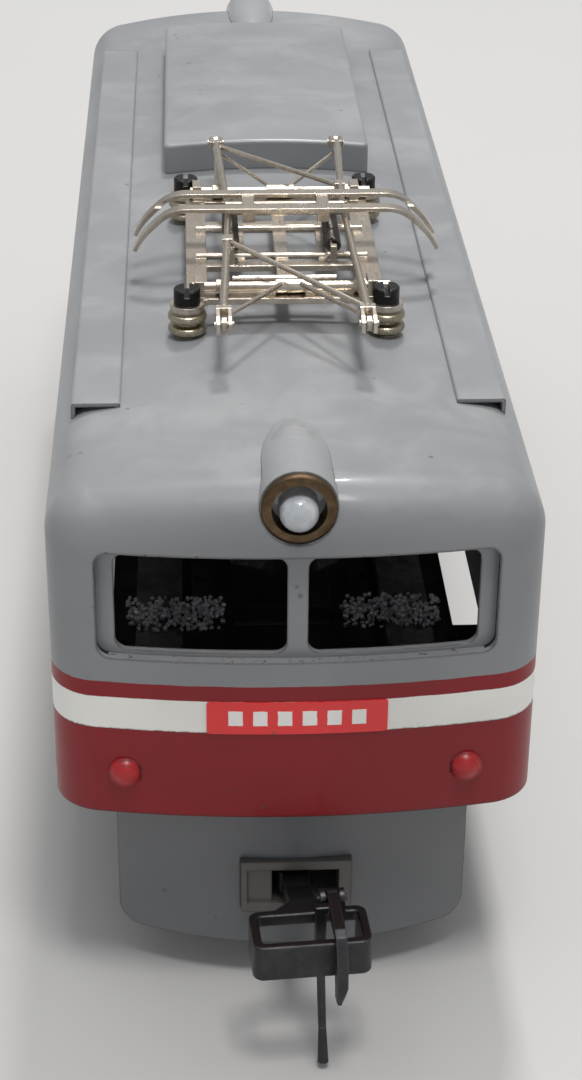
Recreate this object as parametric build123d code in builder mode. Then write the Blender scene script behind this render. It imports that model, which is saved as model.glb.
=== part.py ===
from build123d import *

import os
from math import cos, pi, radians, sin, sqrt

# Model electric locomotive, 1:80 scale on 16.5 mm gauge track, built as an assembly.
# Frame: the pantograph end faces -Y, +X is to the right seen from that end, +Z is up.
# Origin: under the middle of the locomotive, on the surface the wheel flanges stand on.
# Units: millimetres. Each finished piece is written to parts/NAME.step.

os.makedirs("parts", exist_ok=True)

# Body shell
BODY_LENGTH = 122.4
BODY_WIDTH = 36.0
BODY_BOTTOM = 17.5
ROOF_TOP = 44.5
WALL = 0.9
BOW_RADIUS = 82.0
CORNER_RADIUS = 3.9
ROOF_RADIUS = 90.0
ROOF_EDGE_RADIUS = 3.8

# Windscreen opening, the frame behind it, and the side openings
SCREEN_HALF_WIDTH = 14.4
SCREEN_BOTTOM = 31.0
SCREEN_TOP = 39.6
SCREEN_CORNER = 1.0
FRAME_THICKNESS = 0.5
FRAME_BORDER = 0.6
PANE_OUTER_X = 13.1
PANE_INNER_X = 0.75
PANE_BOTTOM = 31.3
PANE_TOP = 39.2
SIDE_WINDOW_BOTTOM = 31.5
SIDE_WINDOW_TOP = 38.8
SIDE_WINDOWS = [(50.5, 7.5), (33.0, 8.0), (17.5, 8.0)]
LOUVRE_LENGTH = 14.0
LOUVRE_SLATS = 6
DOOR_Y = 42.0
DOOR_WIDTH = 5.6

# Roof fittings
DUCT_INNER_X = 12.7
DUCT_OUTER_X = 16.4
DUCT_TOP = 43.9
DUCT_HALF_LENGTH = 44.7
DUCT_SHEET = 0.3
HATCH_HALF_WIDTH = 9.6
HATCH_FRONT = 4.9
HATCH_REAR = 43.8
HATCH_RISE = 2.8
HATCH_SHEET = 0.5
LAMP_AXIS_Z = 43.3
LAMP_FRONT = 61.0
BEZEL_RADIUS = 2.68
BEZEL_BORE = 1.95
BEZEL_THICKNESS = 0.6
COWL_RADIUS = 2.78
COWL_BORE = 2.3
COWL_STRAIGHT = 5.0
COWL_LENGTH = 13.4
COWL_SHOULDER = 10.6
LENS_RADIUS = 1.43
LENS_DROP = 0.35

# Paint band and end fittings
PLATE_HALF_WIDTH = 6.6
PLATE_BOTTOM = 25.0
PLATE_TOP = 27.7
PLATE_PROUD = 0.12
TAIL_LAMP_X = 12.6
TAIL_LAMP_Z = 21.2
TAIL_LAMP_RADIUS = 1.25
TAIL_LAMP_SET = 1.4

# Underframe
FLOOR_BOTTOM = 17.8
FLOOR_TOP = 19.0
FLOOR_GAP = 0.15
NOTCH_X = 14.3
NOTCH_WIDTH = 4.0
NOTCH_Y = 25.0
NOTCH_LENGTH = 23.0
APRON_FRONT = 58.7
APRON_HALF_WIDTH = 13.6
APRON_SAG = 3.5
APRON_BOTTOM = 3.6
APRON_SHEET = 0.7
APRON_CORNER = 1.7
BOSS_X = 14.6
BOSS_Y = 46.5
BOSS_TOP = 23.0
SCREW_RADIUS = 0.85
SIDE_FRAME_INNER = 12.6
SIDE_FRAME_OUTER = 13.6
SIDE_FRAME_HALF_LENGTH = 45.0

# Running gear
AXLE_Y = 29.0
TREAD_RADIUS = 6.25
FLANGE_RADIUS = 7.15
AXLE_Z = FLANGE_RADIUS
WHEEL_BACK = 7.2
WHEEL_WIDTH = 2.8
FLANGE_WIDTH = 0.8
AXLE_RADIUS = 1.2
AXLE_HALF_LENGTH = 10.3
RUNNING_GAP = 0.05
CHEEK_INNER = 4.2
CHEEK_OUTER = 5.7
GEARBOX_HALF_LENGTH = 8.0
KEEPER_BOTTOM = 2.3
KEEPER_TOP = 3.2
BUSH_RADIUS = 2.1
COVER_TOP = 20.2
COVER_HALF_WIDTH = CHEEK_INNER - 0.1
WEIGHT_HEIGHT = 1.6

# Worm drive: one-start worms on the motor shaft, twenty-tooth wheels on the axles
MODULE = 0.4
WHEEL_TEETH = 20
FIRST_TOOTH = 102.8
WORM_PITCH_RADIUS = 2.2
WORM_TIP_RADIUS = 2.5
WORM_ROOT_RADIUS = 1.75
WORM_LENGTH = 8.0
THREAD_WIDTH = 0.38
SHAFT_RADIUS = 1.0
SHAFT_HALF_LENGTH = 35.5
WHEEL_PITCH_RADIUS = MODULE * WHEEL_TEETH / 2
SHAFT_Z = AXLE_Z + WHEEL_PITCH_RADIUS + WORM_PITCH_RADIUS
WORM_PITCH = pi * MODULE

# Motor
POLE_INNER = 6.4
POLE_OUTER = 8.0
POLE_HALF_LENGTH = 6.0
POLE_BOTTOM = 7.4
MOTOR_TOP = 27.0
MAGNET_BOTTOM = 19.8
ARMATURE_RADIUS = 5.0
ARMATURE_HALF_LENGTH = 5.0
AIR_GAP = 0.3
BRIDGE_THICKNESS = 1.0
BRIDGE_Y = 10.0
BRIDGE_HALF_WIDTH = 11.5

# Leads from the motor to the headlamps
WIRE_RADIUS = 0.4
WIRE_BENDS = [3.0, 6.0, 8.0, 6.0]

# Couplers, written for the -Y end with the loop square to the track
COUPLER_PIVOT_Y = 57.5
COUPLER_SWING = 4.5
LOOP_FRONT = 69.6
LOOP_BACK = 65.2
LOOP_BOTTOM = 9.1
LOOP_TOP = 12.1
LOOP_HALF_WIDTH = 4.4
LOOP_BAR = 0.7
LOOP_REAR_BOTTOM = 11.2
SHANK_HALF_WIDTH = 1.0
SHANK_BEND_Y = 60.2
SHANK_BOTTOM = 8.5
SHANK_TOP = 10.3
HOOK_PIVOT_Z = 12.9
HOOK_X = 1.9
LEVER_X = 0.9
POCKET_BOTTOM = 7.0
POCKET_TOP = 11.75
POCKET_FRONT = 59.1
POCKET_RECESS = 0.3
POCKET_LEFT = -4.1
POCKET_RIGHT = 4.4
POCKET_HOLE_LEFT = -1.7
POCKET_HOLE_RIGHT = 3.45
POCKET_HOLE_BOTTOM = 7.8
POCKET_HOLE_TOP = 10.95

# Pantograph, written about its own middle with the outer end at -Y
PANTO_Y = -20.1
PANTO_X = 0.3
LINKAGE_X = 0.7
INSULATOR_X = 7.9
INSULATOR_Y = 12.6
INSULATOR_RADIUS = 1.55
BASE_BOTTOM = 46.4
BASE_TOP = 46.9
BASE_RAIL_X = 7.1
BASE_RAIL_WIDTH = 1.7
MAIN_SHAFT_Z = 47.5
MAIN_SHAFT_Y = 10.8
MAIN_SHAFT_RADIUS = 0.4
EAR_X = 6.9
KNEE_X = 5.5
TOP_X = 4.8
TOP_Y = 1.0
LOWER_LENGTH = 10.0
LOWER_ANGLE = 6.0
UPPER_RATIO = 0.7
FORK_LENGTH = 2.0
PIN_RADIUS = 0.25
PIN_GAP = 0.06
OPEN_PIVOT_GAP = 0.2
KNEE_Y = MAIN_SHAFT_Y + LOWER_LENGTH * cos(radians(LOWER_ANGLE))
KNEE_Z = MAIN_SHAFT_Z + LOWER_LENGTH * sin(radians(LOWER_ANGLE))
UPPER_ANGLE = LOWER_ANGLE * UPPER_RATIO
UPPER_LENGTH = (KNEE_Y - TOP_Y) / cos(radians(UPPER_ANGLE))
TOP_Z = KNEE_Z + UPPER_LENGTH * sin(radians(UPPER_ANGLE))
SHOE_Y = 1.75
SHOE_WIDTH = 1.1
SHOE_TOP = 50.8
SHOE_SHEET = 0.35
SHOE_FLAT = 8.2
HORN_X = 12.75
HORN_DROP = 3.6
SPRING_RADIUS = 0.55
SPRING_LENGTH = 7.4

HALF_LENGTH = BODY_LENGTH / 2
BIG = 200.0
ENDS = (("front", -1), ("rear", 1))


def save(piece, name):
    """Label a finished builder and write its part to its own STEP file."""
    piece.part.label = name
    export_step(piece.part, f"parts/{name}.step")


def block(start, end, mode=Mode.ADD):
    """Add or cut an upright box between two opposite corners."""
    size = [abs(b - a) for a, b in zip(start, end)]
    middle = [(a + b) / 2 for a, b in zip(start, end)]
    with Locations(tuple(middle)):
        Box(*size, mode=mode)


def rod(axis, centre, radius, length, mode=Mode.ADD):
    """Add or cut a cylinder centred on a point with its axis along X, Y or Z."""
    directions = {"x": (1, 0, 0), "y": (0, 1, 0), "z": (0, 0, 1)}
    with Locations(Plane(origin=centre, z_dir=directions[axis])):
        Cylinder(radius, length, mode=mode)


def strut(start, end, start_radius, end_radius):
    """Add a round, evenly tapered rod between two points."""
    direction = Vector(*end) - Vector(*start)
    with BuildSketch(Plane(origin=start, z_dir=direction), mode=Mode.PRIVATE) as near_ring:
        Circle(start_radius)
    with BuildSketch(Plane(origin=end, z_dir=direction), mode=Mode.PRIVATE) as far_ring:
        Circle(end_radius)
    loft(sections=[near_ring.sketch, far_ring.sketch])


def turned(piece, angle, y=0.0):
    """A copy of a solid turned about the vertical line through (0, y)."""
    return piece.rotate(Axis((0, y, 0), (0, 0, 1)), angle)


def plan_sketch(inset):
    """The body seen from above: straight sides, bowed ends and round corners."""
    half_width = BODY_WIDTH / 2 - inset
    half_length = HALF_LENGTH - inset
    bow = BOW_RADIUS - inset
    shoulder = half_length - (bow - sqrt(bow**2 - half_width**2))
    with BuildSketch(Plane.XY, mode=Mode.PRIVATE) as plan:
        with BuildLine():
            Line((half_width, -shoulder), (half_width, shoulder))
            ThreePointArc((half_width, shoulder), (0, half_length), (-half_width, shoulder))
            Line((-half_width, shoulder), (-half_width, -shoulder))
            ThreePointArc((-half_width, -shoulder), (0, -half_length), (half_width, -shoulder))
        make_face()
        fillet(plan.vertices(), CORNER_RADIUS - inset)
    return plan.sketch


def envelope(inset, bottom, top=ROOF_TOP):
    """The body's full shape with no hollow, inset evenly from its outside."""
    with BuildPart() as solid:
        with BuildSketch(Plane.XY.offset(bottom)):
            add(plan_sketch(inset))
        extrude(amount=top - bottom)
        with Locations(Plane(origin=(0, 0, ROOF_TOP - ROOF_RADIUS), z_dir=(0, 1, 0))):
            Cylinder(ROOF_RADIUS - inset, BIG, mode=Mode.INTERSECT)
        rim = [edge for edge in solid.edges() if edge.bounding_box().min.Z > ROOF_TOP - 6]
        fillet(rim, ROOF_EDGE_RADIUS - inset)
    return solid.part


def front_slab(near, far, low, high, half_width, corner):
    """A round-cornered block through one end wall, as a tool for cutting or trimming."""
    with BuildPart() as slab:
        with BuildSketch(Plane.XZ.offset(near)):
            with Locations((0, (low + high) / 2)):
                RectangleRounded(2 * half_width, high - low, corner)
        extrude(amount=far - near)
    return slab.part


OUTSIDE = envelope(0.0, BODY_BOTTOM)
INSIDE = envelope(WALL, BODY_BOTTOM - 1)

# ---------------------------------------------------------------- body shell
with BuildPart() as body_shell:
    add(OUTSIDE)
    add(INSIDE, mode=Mode.SUBTRACT)
    for name, end in ENDS:
        # Windscreen opening, headlamp bore and tail lamp holes in each end wall
        screen = front_slab(HALF_LENGTH - 5, HALF_LENGTH + 1, SCREEN_BOTTOM, SCREEN_TOP,
                            SCREEN_HALF_WIDTH, SCREEN_CORNER)
        add(turned(screen, 0 if end < 0 else 180), mode=Mode.SUBTRACT)
        rod("y", (0, end * HALF_LENGTH, LAMP_AXIS_Z), BEZEL_RADIUS, 9, Mode.SUBTRACT)
        for x in (-TAIL_LAMP_X, TAIL_LAMP_X):
            rod("y", (x, end * HALF_LENGTH, TAIL_LAMP_Z), TAIL_LAMP_RADIUS - 0.35, 5, Mode.SUBTRACT)
        for window_y, window_length in SIDE_WINDOWS:
            with BuildSketch(Plane.YZ.offset(-BODY_WIDTH / 2 - 1)):
                with Locations((end * window_y, (SIDE_WINDOW_BOTTOM + SIDE_WINDOW_TOP) / 2)):
                    RectangleRounded(window_length, SIDE_WINDOW_TOP - SIDE_WINDOW_BOTTOM, 0.9)
            extrude(amount=BODY_WIDTH + 2, mode=Mode.SUBTRACT)
        # Shallow door joints in both sides
        for side in (-1, 1):
            with BuildSketch(Plane.YZ.offset(side * (BODY_WIDTH / 2 - 0.15))):
                with Locations((end * DOOR_Y, 29.5)):
                    RectangleRounded(DOOR_WIDTH, 20, 0.6)
                    RectangleRounded(DOOR_WIDTH - 0.5, 19.5, 0.4, mode=Mode.SUBTRACT)
            extrude(amount=side, mode=Mode.SUBTRACT)
    # Openings for the louvre panels in the middle of both sides
    block((-BODY_WIDTH, -LOUVRE_LENGTH / 2, SIDE_WINDOW_BOTTOM),
          (BODY_WIDTH, LOUVRE_LENGTH / 2, SIDE_WINDOW_TOP), Mode.SUBTRACT)
    # Bosses for the body screws, and the holes for the four pantograph screws
    for x in (-BOSS_X, BOSS_X):
        for y in (-BOSS_Y, BOSS_Y):
            side = 1 if x > 0 else -1
            reach = (side * (BODY_WIDTH / 2 - WALL / 2), side * (BOSS_X - 1.8))
            block((min(reach), y - 2, FLOOR_TOP), (max(reach), y + 2, BOSS_TOP))
            rod("z", (x, y, FLOOR_TOP + 1.6), SCREW_RADIUS + 0.1, 3.4, Mode.SUBTRACT)
    for x in (-INSULATOR_X, INSULATOR_X):
        for y in (-INSULATOR_Y, INSULATOR_Y):
            rod("z", (PANTO_X + x, PANTO_Y + y, ROOF_TOP), 0.5, 4, Mode.SUBTRACT)
save(body_shell, "body_shell")

# ---------------------------------------------------------------- windscreen frames
BEHIND_FRAME = envelope(WALL + FRAME_THICKNESS, BODY_BOTTOM - 1)
for name, end in ENDS:
    with BuildPart() as window_frame:
        add(front_slab(HALF_LENGTH - 6, HALF_LENGTH, SCREEN_BOTTOM - FRAME_BORDER,
                       SCREEN_TOP + FRAME_BORDER, SCREEN_HALF_WIDTH + FRAME_BORDER, 1.4))
        add(INSIDE, mode=Mode.INTERSECT)
        add(BEHIND_FRAME, mode=Mode.SUBTRACT)
        for x in (-1, 1):
            with BuildSketch(Plane.XZ.offset(HALF_LENGTH - 7)):
                with Locations((x * (PANE_OUTER_X + PANE_INNER_X) / 2, (PANE_BOTTOM + PANE_TOP) / 2)):
                    RectangleRounded(PANE_OUTER_X - PANE_INNER_X, PANE_TOP - PANE_BOTTOM, 0.9)
            extrude(amount=8, mode=Mode.SUBTRACT)
    window_frame.part = turned(window_frame.part, 0 if end < 0 else 180)
    save(window_frame, f"{name}_window_frame")

# ---------------------------------------------------------------- side louvre panels
with BuildPart() as side_louvres:
    for side in (-1, 1):
        near = side * (BODY_WIDTH / 2 - WALL)
        far = side * (BODY_WIDTH / 2 - 0.35)
        rim = side * BODY_WIDTH / 2
        height = SIDE_WINDOW_TOP - SIDE_WINDOW_BOTTOM
        block((min(near, far), -LOUVRE_LENGTH / 2, SIDE_WINDOW_BOTTOM),
              (max(near, far), LOUVRE_LENGTH / 2, SIDE_WINDOW_TOP))
        for y in (-LOUVRE_LENGTH / 2, LOUVRE_LENGTH / 2 - 0.6):
            block((min(near, rim), y, SIDE_WINDOW_BOTTOM), (max(near, rim), y + 0.6, SIDE_WINDOW_TOP))
        for row in range(LOUVRE_SLATS):
            low = SIDE_WINDOW_BOTTOM + height * (row + 0.25) / LOUVRE_SLATS
            with BuildSketch(Plane.XZ.offset(-LOUVRE_LENGTH / 2)):
                Polygon((far, low), (rim, low), (far, low + 0.75), align=None)
            extrude(amount=LOUVRE_LENGTH)
save(side_louvres, "side_louvres")

# ---------------------------------------------------------------- roof ducts and hatch
for name, side in (("left", -1), ("right", 1)):
    with BuildPart() as roof_duct:
        with BuildSketch(Plane.XZ.offset(-DUCT_HALF_LENGTH)):
            with Locations((side * (DUCT_INNER_X + DUCT_OUTER_X) / 2, DUCT_TOP - 1.5)):
                Rectangle(DUCT_OUTER_X - DUCT_INNER_X, 3)
            with Locations((side * (DUCT_INNER_X + DUCT_OUTER_X) / 2, DUCT_TOP - DUCT_SHEET - 1.5)):
                Rectangle(DUCT_OUTER_X - DUCT_INNER_X - 2 * DUCT_SHEET, 3, mode=Mode.SUBTRACT)
        extrude(amount=2 * DUCT_HALF_LENGTH)
        folds = roof_duct.edges().filter_by(Axis.Y).group_by(Axis.Z)[-1]
        fillet(folds, 0.2)
        add(OUTSIDE, mode=Mode.SUBTRACT)
        roof_duct.part = roof_duct.part.solids().sort_by(SortBy.VOLUME)[-1]
    save(roof_duct, f"roof_duct_{name}")

with BuildPart() as roof_hatch:
    with BuildSketch(Plane.XY.offset(ROOF_TOP - 2)):
        with Locations((0, (HATCH_FRONT + HATCH_REAR) / 2)):
            RectangleRounded(2 * HATCH_HALF_WIDTH, HATCH_REAR - HATCH_FRONT, 0.5)
    extrude(amount=6)
    with Locations(Plane(origin=(0, 0, ROOF_TOP + HATCH_RISE - ROOF_RADIUS), z_dir=(0, 1, 0))):
        Cylinder(ROOF_RADIUS, BIG, mode=Mode.INTERSECT)
    rim = [edge for edge in roof_hatch.edges() if edge.bounding_box().min.Z > ROOF_TOP + 1]
    fillet(rim, 0.35)
    with BuildSketch(Plane.XY.offset(ROOF_TOP - 3)):
        with Locations((0, (HATCH_FRONT + HATCH_REAR) / 2)):
            Rectangle(2 * (HATCH_HALF_WIDTH - HATCH_SHEET), HATCH_REAR - HATCH_FRONT - 2 * HATCH_SHEET)
    extrude(amount=3 + HATCH_RISE - 1.1, mode=Mode.SUBTRACT)
    add(OUTSIDE, mode=Mode.SUBTRACT)
save(roof_hatch, "roof_hatch")

# ---------------------------------------------------------------- headlamps
for name, end in ENDS:
    face = end * LAMP_FRONT
    seat = face - end * BEZEL_THICKNESS
    tail = face - end * COWL_LENGTH
    with BuildPart() as cowl:
        with BuildSketch(Plane.YZ):
            with BuildLine():
                neck = (face - end * COWL_STRAIGHT, LAMP_AXIS_Z + COWL_RADIUS)
                Line((seat, LAMP_AXIS_Z), (seat, LAMP_AXIS_Z + COWL_RADIUS))
                Line((seat, LAMP_AXIS_Z + COWL_RADIUS), neck)
                Spline(neck, (face - end * COWL_SHOULDER, LAMP_AXIS_Z + 1.95), (tail, LAMP_AXIS_Z),
                       tangents=[(-end, 0), (-0.35 * end, -1)])
                Line((tail, LAMP_AXIS_Z), (seat, LAMP_AXIS_Z))
            make_face()
        revolve(axis=Axis((0, 0, LAMP_AXIS_Z), (0, 1, 0)))
        add(OUTSIDE, mode=Mode.SUBTRACT)
        rod("y", (0, end * (LAMP_FRONT - 2), LAMP_AXIS_Z), COWL_BORE, 4, Mode.SUBTRACT)
        cowl.part = cowl.part.solids().sort_by(SortBy.VOLUME)[-1]
    save(cowl, f"{name}_headlight_cowl")

    with BuildPart() as bezel:
        rod("y", (0, (face + seat) / 2, LAMP_AXIS_Z), BEZEL_RADIUS, BEZEL_THICKNESS)
        rod("y", (0, seat - end * 1.0, LAMP_AXIS_Z), COWL_BORE, 2.0)
        rod("y", (0, face, LAMP_AXIS_Z), BEZEL_BORE, 8, Mode.SUBTRACT)
        outer_rim = bezel.edges().filter_by(GeomType.CIRCLE).sort_by(SortBy.RADIUS)[-2:]
        front_rim = outer_rim.sort_by(Axis.Y)[0 if end < 0 else -1]
        fillet(front_rim, 0.25)
    save(bezel, f"{name}_headlight_bezel")

    with BuildPart() as lens:
        socket = seat - end * 1.6
        rod("y", (0, socket, LAMP_AXIS_Z), BEZEL_BORE, 0.8)
        rod("y", (0, socket + end * 0.85, LAMP_AXIS_Z - LENS_DROP), LENS_RADIUS, 1.7)
        with Locations((0, socket + end * 1.7, LAMP_AXIS_Z - LENS_DROP)):
            Sphere(LENS_RADIUS)
        block((-3, socket - end * 0.4, LAMP_AXIS_Z - 3), (3, socket - end * 5, LAMP_AXIS_Z + 3),
              Mode.SUBTRACT)
    save(lens, f"{name}_headlight_lens")

    with BuildPart() as tail_lamps:
        for x in (-TAIL_LAMP_X, TAIL_LAMP_X):
            rod("y", (x, end * (HALF_LENGTH - TAIL_LAMP_SET), TAIL_LAMP_Z), TAIL_LAMP_RADIUS, 1.2)
            with Locations((x, end * (HALF_LENGTH - TAIL_LAMP_SET), TAIL_LAMP_Z)):
                Sphere(TAIL_LAMP_RADIUS)
        add(OUTSIDE, mode=Mode.SUBTRACT)
        for x in (-TAIL_LAMP_X, TAIL_LAMP_X):
            rod("y", (x, end * (HALF_LENGTH - 1.6), TAIL_LAMP_Z), TAIL_LAMP_RADIUS - 0.35, 2.2)
    save(tail_lamps, f"{name}_tail_lamps")

    # A thin plate that follows the bowed end, standing just proud of the paint
    with BuildPart() as number_plate:
        add(envelope(-PLATE_PROUD, BODY_BOTTOM))
        plate = front_slab(HALF_LENGTH - 2, HALF_LENGTH + 1, PLATE_BOTTOM, PLATE_TOP,
                           PLATE_HALF_WIDTH, 0.25)
        add(turned(plate, 0 if end < 0 else 180), mode=Mode.INTERSECT)
        add(OUTSIDE, mode=Mode.SUBTRACT)
    save(number_plate, f"{name}_number_plate")

# ---------------------------------------------------------------- underframe
with BuildPart() as chassis_frame:
    with BuildSketch(Plane.XY.offset(FLOOR_BOTTOM)):
        add(plan_sketch(WALL + FLOOR_GAP))
        Rectangle(2 * (POLE_OUTER + 1), 2 * (BRIDGE_Y + 3), mode=Mode.SUBTRACT)
        with Locations((0, -AXLE_Y), (0, AXLE_Y)):
            Rectangle(2 * CHEEK_INNER, 2 * GEARBOX_HALF_LENGTH - 2, mode=Mode.SUBTRACT)
        with GridLocations(2 * BOSS_X, 2 * BOSS_Y, 2, 2):
            Circle(SCREW_RADIUS + 0.1, mode=Mode.SUBTRACT)
        # Notches in the long edges, open to the track below
        with GridLocations(2 * (NOTCH_X + NOTCH_WIDTH / 2), 2 * NOTCH_Y, 2, 2):
            Rectangle(NOTCH_WIDTH, NOTCH_LENGTH, mode=Mode.SUBTRACT)
    extrude(amount=FLOOR_TOP - FLOOR_BOTTOM)
    for name, end in ENDS:
        for side in (-1, 1):
            low = min(side * CHEEK_INNER, side * CHEEK_OUTER)
            high = max(side * CHEEK_INNER, side * CHEEK_OUTER)
            block((low, end * AXLE_Y - GEARBOX_HALF_LENGTH, KEEPER_TOP),
                  (high, end * AXLE_Y + GEARBOX_HALF_LENGTH, FLOOR_BOTTOM + 0.2))
        rod("x", (0, end * AXLE_Y, AXLE_Z), BUSH_RADIUS, 2 * CHEEK_OUTER + 1, Mode.SUBTRACT)
        for y in (-6.8, 6.8):
            # Cross bars between the cheeks take the keeper screws
            block((-CHEEK_OUTER, end * AXLE_Y + y - 1.2, KEEPER_TOP),
                  (CHEEK_OUTER, end * AXLE_Y + y + 1.2, KEEPER_TOP + 3.0))
            rod("z", (0, end * AXLE_Y + y, KEEPER_TOP + 1), SCREW_RADIUS + 0.1, 3, Mode.SUBTRACT)
save(chassis_frame, "chassis_frame")

with BuildPart() as keeper_plates:
    for name, end in ENDS:
        with BuildSketch(Plane.XY.offset(KEEPER_BOTTOM)):
            with Locations((0, end * AXLE_Y)):
                RectangleRounded(2 * CHEEK_OUTER, 2 * GEARBOX_HALF_LENGTH, 0.8)
                SlotOverall(7.6, 3.2, rotation=90, mode=Mode.SUBTRACT)
                with Locations((0, -6.8), (0, 6.8)):
                    Circle(SCREW_RADIUS + 0.1, mode=Mode.SUBTRACT)
        extrude(amount=KEEPER_TOP - KEEPER_BOTTOM)
save(keeper_plates, "keeper_plates")

with BuildPart() as keeper_screws:
    for name, end in ENDS:
        for y in (-6.8, 6.8):
            place = end * AXLE_Y + y
            rod("z", (0, place, KEEPER_BOTTOM + 1.2), SCREW_RADIUS, 2.6)
            rod("z", (0, place, KEEPER_BOTTOM - 0.35), 1.5, 0.7)
            block((-2, place - 0.2, KEEPER_BOTTOM - 1), (2, place + 0.2, KEEPER_BOTTOM - 0.4),
                  Mode.SUBTRACT)
save(keeper_screws, "keeper_screws")

with BuildPart() as body_screws:
    for x in (-BOSS_X, BOSS_X):
        for y in (-BOSS_Y, BOSS_Y):
            rod("z", (x, y, FLOOR_BOTTOM + 1.7), SCREW_RADIUS, 3.6)
            rod("z", (x, y, FLOOR_BOTTOM - 0.4), 1.6, 0.8)
            block((x - 2, y - 0.2, FLOOR_BOTTOM - 1), (x + 2, y + 0.2, FLOOR_BOTTOM - 0.45),
                  Mode.SUBTRACT)
save(body_screws, "body_screws")

with BuildPart() as axle_bushes:
    for name, end in ENDS:
        for side in (-1, 1):
            middle = side * (CHEEK_INNER + CHEEK_OUTER) / 2
            rod("x", (middle, end * AXLE_Y, AXLE_Z), BUSH_RADIUS, CHEEK_OUTER - CHEEK_INNER)
            rod("x", (side * (CHEEK_OUTER + 0.3), end * AXLE_Y, AXLE_Z), BUSH_RADIUS + 0.6, 0.6)
            rod("x", (middle, end * AXLE_Y, AXLE_Z), AXLE_RADIUS + RUNNING_GAP, 4, Mode.SUBTRACT)
save(axle_bushes, "axle_bushes")

# Side frames: a flat bar with drop plates, leaf springs and axle boxes
for name, side in (("left", -1), ("right", 1)):
    with BuildPart() as side_frame:
        with BuildSketch(Plane.YZ.offset(side * SIDE_FRAME_INNER)):
            with Locations((0, 15.6)):
                Rectangle(2 * SIDE_FRAME_HALF_LENGTH, 4.4)
            with Locations((-AXLE_Y, 12.5), (AXLE_Y, 12.5)):
                Trapezoid(24, 10.6, 65, rotation=180)
            with Locations((0, 11.6)):
                Trapezoid(26, 5.0, 60, rotation=180)
            with Locations((-AXLE_Y, 6.5), (AXLE_Y, 6.5)):
                RectangleRounded(7.0, 6.4, 0.6)
        extrude(amount=side * (SIDE_FRAME_OUTER - SIDE_FRAME_INNER))
        inner = (min(side * 9.8, side * SIDE_FRAME_INNER), -SIDE_FRAME_HALF_LENGTH, 17.0)
        outer = (max(side * 9.8, side * SIDE_FRAME_INNER), SIDE_FRAME_HALF_LENGTH, FLOOR_BOTTOM)
        block(inner, outer)
        for end in (-1, 1):
            box_low = min(side * SIDE_FRAME_OUTER, side * (SIDE_FRAME_OUTER + 1.6))
            box_high = max(side * SIDE_FRAME_OUTER, side * (SIDE_FRAME_OUTER + 1.6))
            block((box_low, end * AXLE_Y - 2.4, 4.4), (box_high, end * AXLE_Y + 2.4, 9.6))
            rod("x", (side * (SIDE_FRAME_OUTER + 1.7), end * AXLE_Y, AXLE_Z), 1.7, 0.6)
            for leaf in range(4):
                # Leaf spring over each axle box, shorter leaf by leaf from the top
                reach = 8.0 - 1.6 * leaf
                low = 12.6 - 0.7 * leaf
                block((min(side * SIDE_FRAME_OUTER, side * (SIDE_FRAME_OUTER + 1.0)),
                       end * AXLE_Y - reach, low),
                      (max(side * SIDE_FRAME_OUTER, side * (SIDE_FRAME_OUTER + 1.0)),
                       end * AXLE_Y + reach, low + 0.6))
            block((box_low, end * AXLE_Y - 0.9, 9.6), (box_high, end * AXLE_Y + 0.9, 13.5))
    save(side_frame, f"{name}_side_frame")

# ---------------------------------------------------------------- aprons and coupler pockets
for name, end in ENDS:
    angle = 0 if end < 0 else 180
    with BuildPart() as apron:
        with BuildSketch(Plane.XY.offset(APRON_BOTTOM)):
            with BuildLine():
                side_y = -(APRON_FRONT - APRON_SAG)
                ThreePointArc((-APRON_HALF_WIDTH, side_y), (0, -APRON_FRONT), (APRON_HALF_WIDTH, side_y))
                offset(amount=APRON_SHEET, side=Side.LEFT, closed=True)
            make_face()
        extrude(amount=FLOOR_BOTTOM - APRON_BOTTOM)
        trim = front_slab(HALF_LENGTH - 12, HALF_LENGTH, APRON_BOTTOM, FLOOR_BOTTOM + 4,
                          APRON_HALF_WIDTH, APRON_CORNER)
        add(trim, mode=Mode.INTERSECT)
        block((POCKET_LEFT, -HALF_LENGTH, POCKET_BOTTOM), (POCKET_RIGHT, -50, POCKET_TOP), Mode.SUBTRACT)
        # Folded lip screwed under the floor
        block((-8, -(APRON_FRONT - 6), FLOOR_BOTTOM - APRON_SHEET), (8, -(APRON_FRONT - 1.8), FLOOR_BOTTOM))
    apron.part = turned(apron.part, angle)
    save(apron, f"{name}_apron")

    with BuildPart() as pocket:
        block((POCKET_LEFT, -POCKET_FRONT, POCKET_BOTTOM), (POCKET_RIGHT, -54.2, POCKET_TOP))
        block((POCKET_HOLE_LEFT, -POCKET_FRONT - 1, POCKET_HOLE_BOTTOM),
              (POCKET_HOLE_RIGHT, -55.0, POCKET_HOLE_TOP), Mode.SUBTRACT)
        # The hole is wider inside, and the plate beside it sits back from the rim
        block((-2.6, -58.5, POCKET_HOLE_BOTTOM), (POCKET_HOLE_RIGHT, -55.0, POCKET_HOLE_TOP), Mode.SUBTRACT)
        block((POCKET_LEFT + 0.5, -POCKET_FRONT, POCKET_HOLE_BOTTOM),
              (POCKET_HOLE_LEFT + 0.1, -POCKET_FRONT + POCKET_RECESS, POCKET_HOLE_TOP), Mode.SUBTRACT)
        rod("z", (0, -COUPLER_PIVOT_Y, 9.3), 0.6, POCKET_TOP - POCKET_BOTTOM - 0.4)
        # Hanger between the pocket and the floor
        block((POCKET_LEFT, -55.6, POCKET_TOP - 0.5), (POCKET_RIGHT, -54.2, FLOOR_BOTTOM - APRON_SHEET))
        upright = pocket.edges().filter_by(Axis.Y).group_by(Axis.Z)[0]
        fillet(upright, 0.3)
    pocket.part = turned(pocket.part, angle)
    save(pocket, f"{name}_coupler_pocket")

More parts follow.
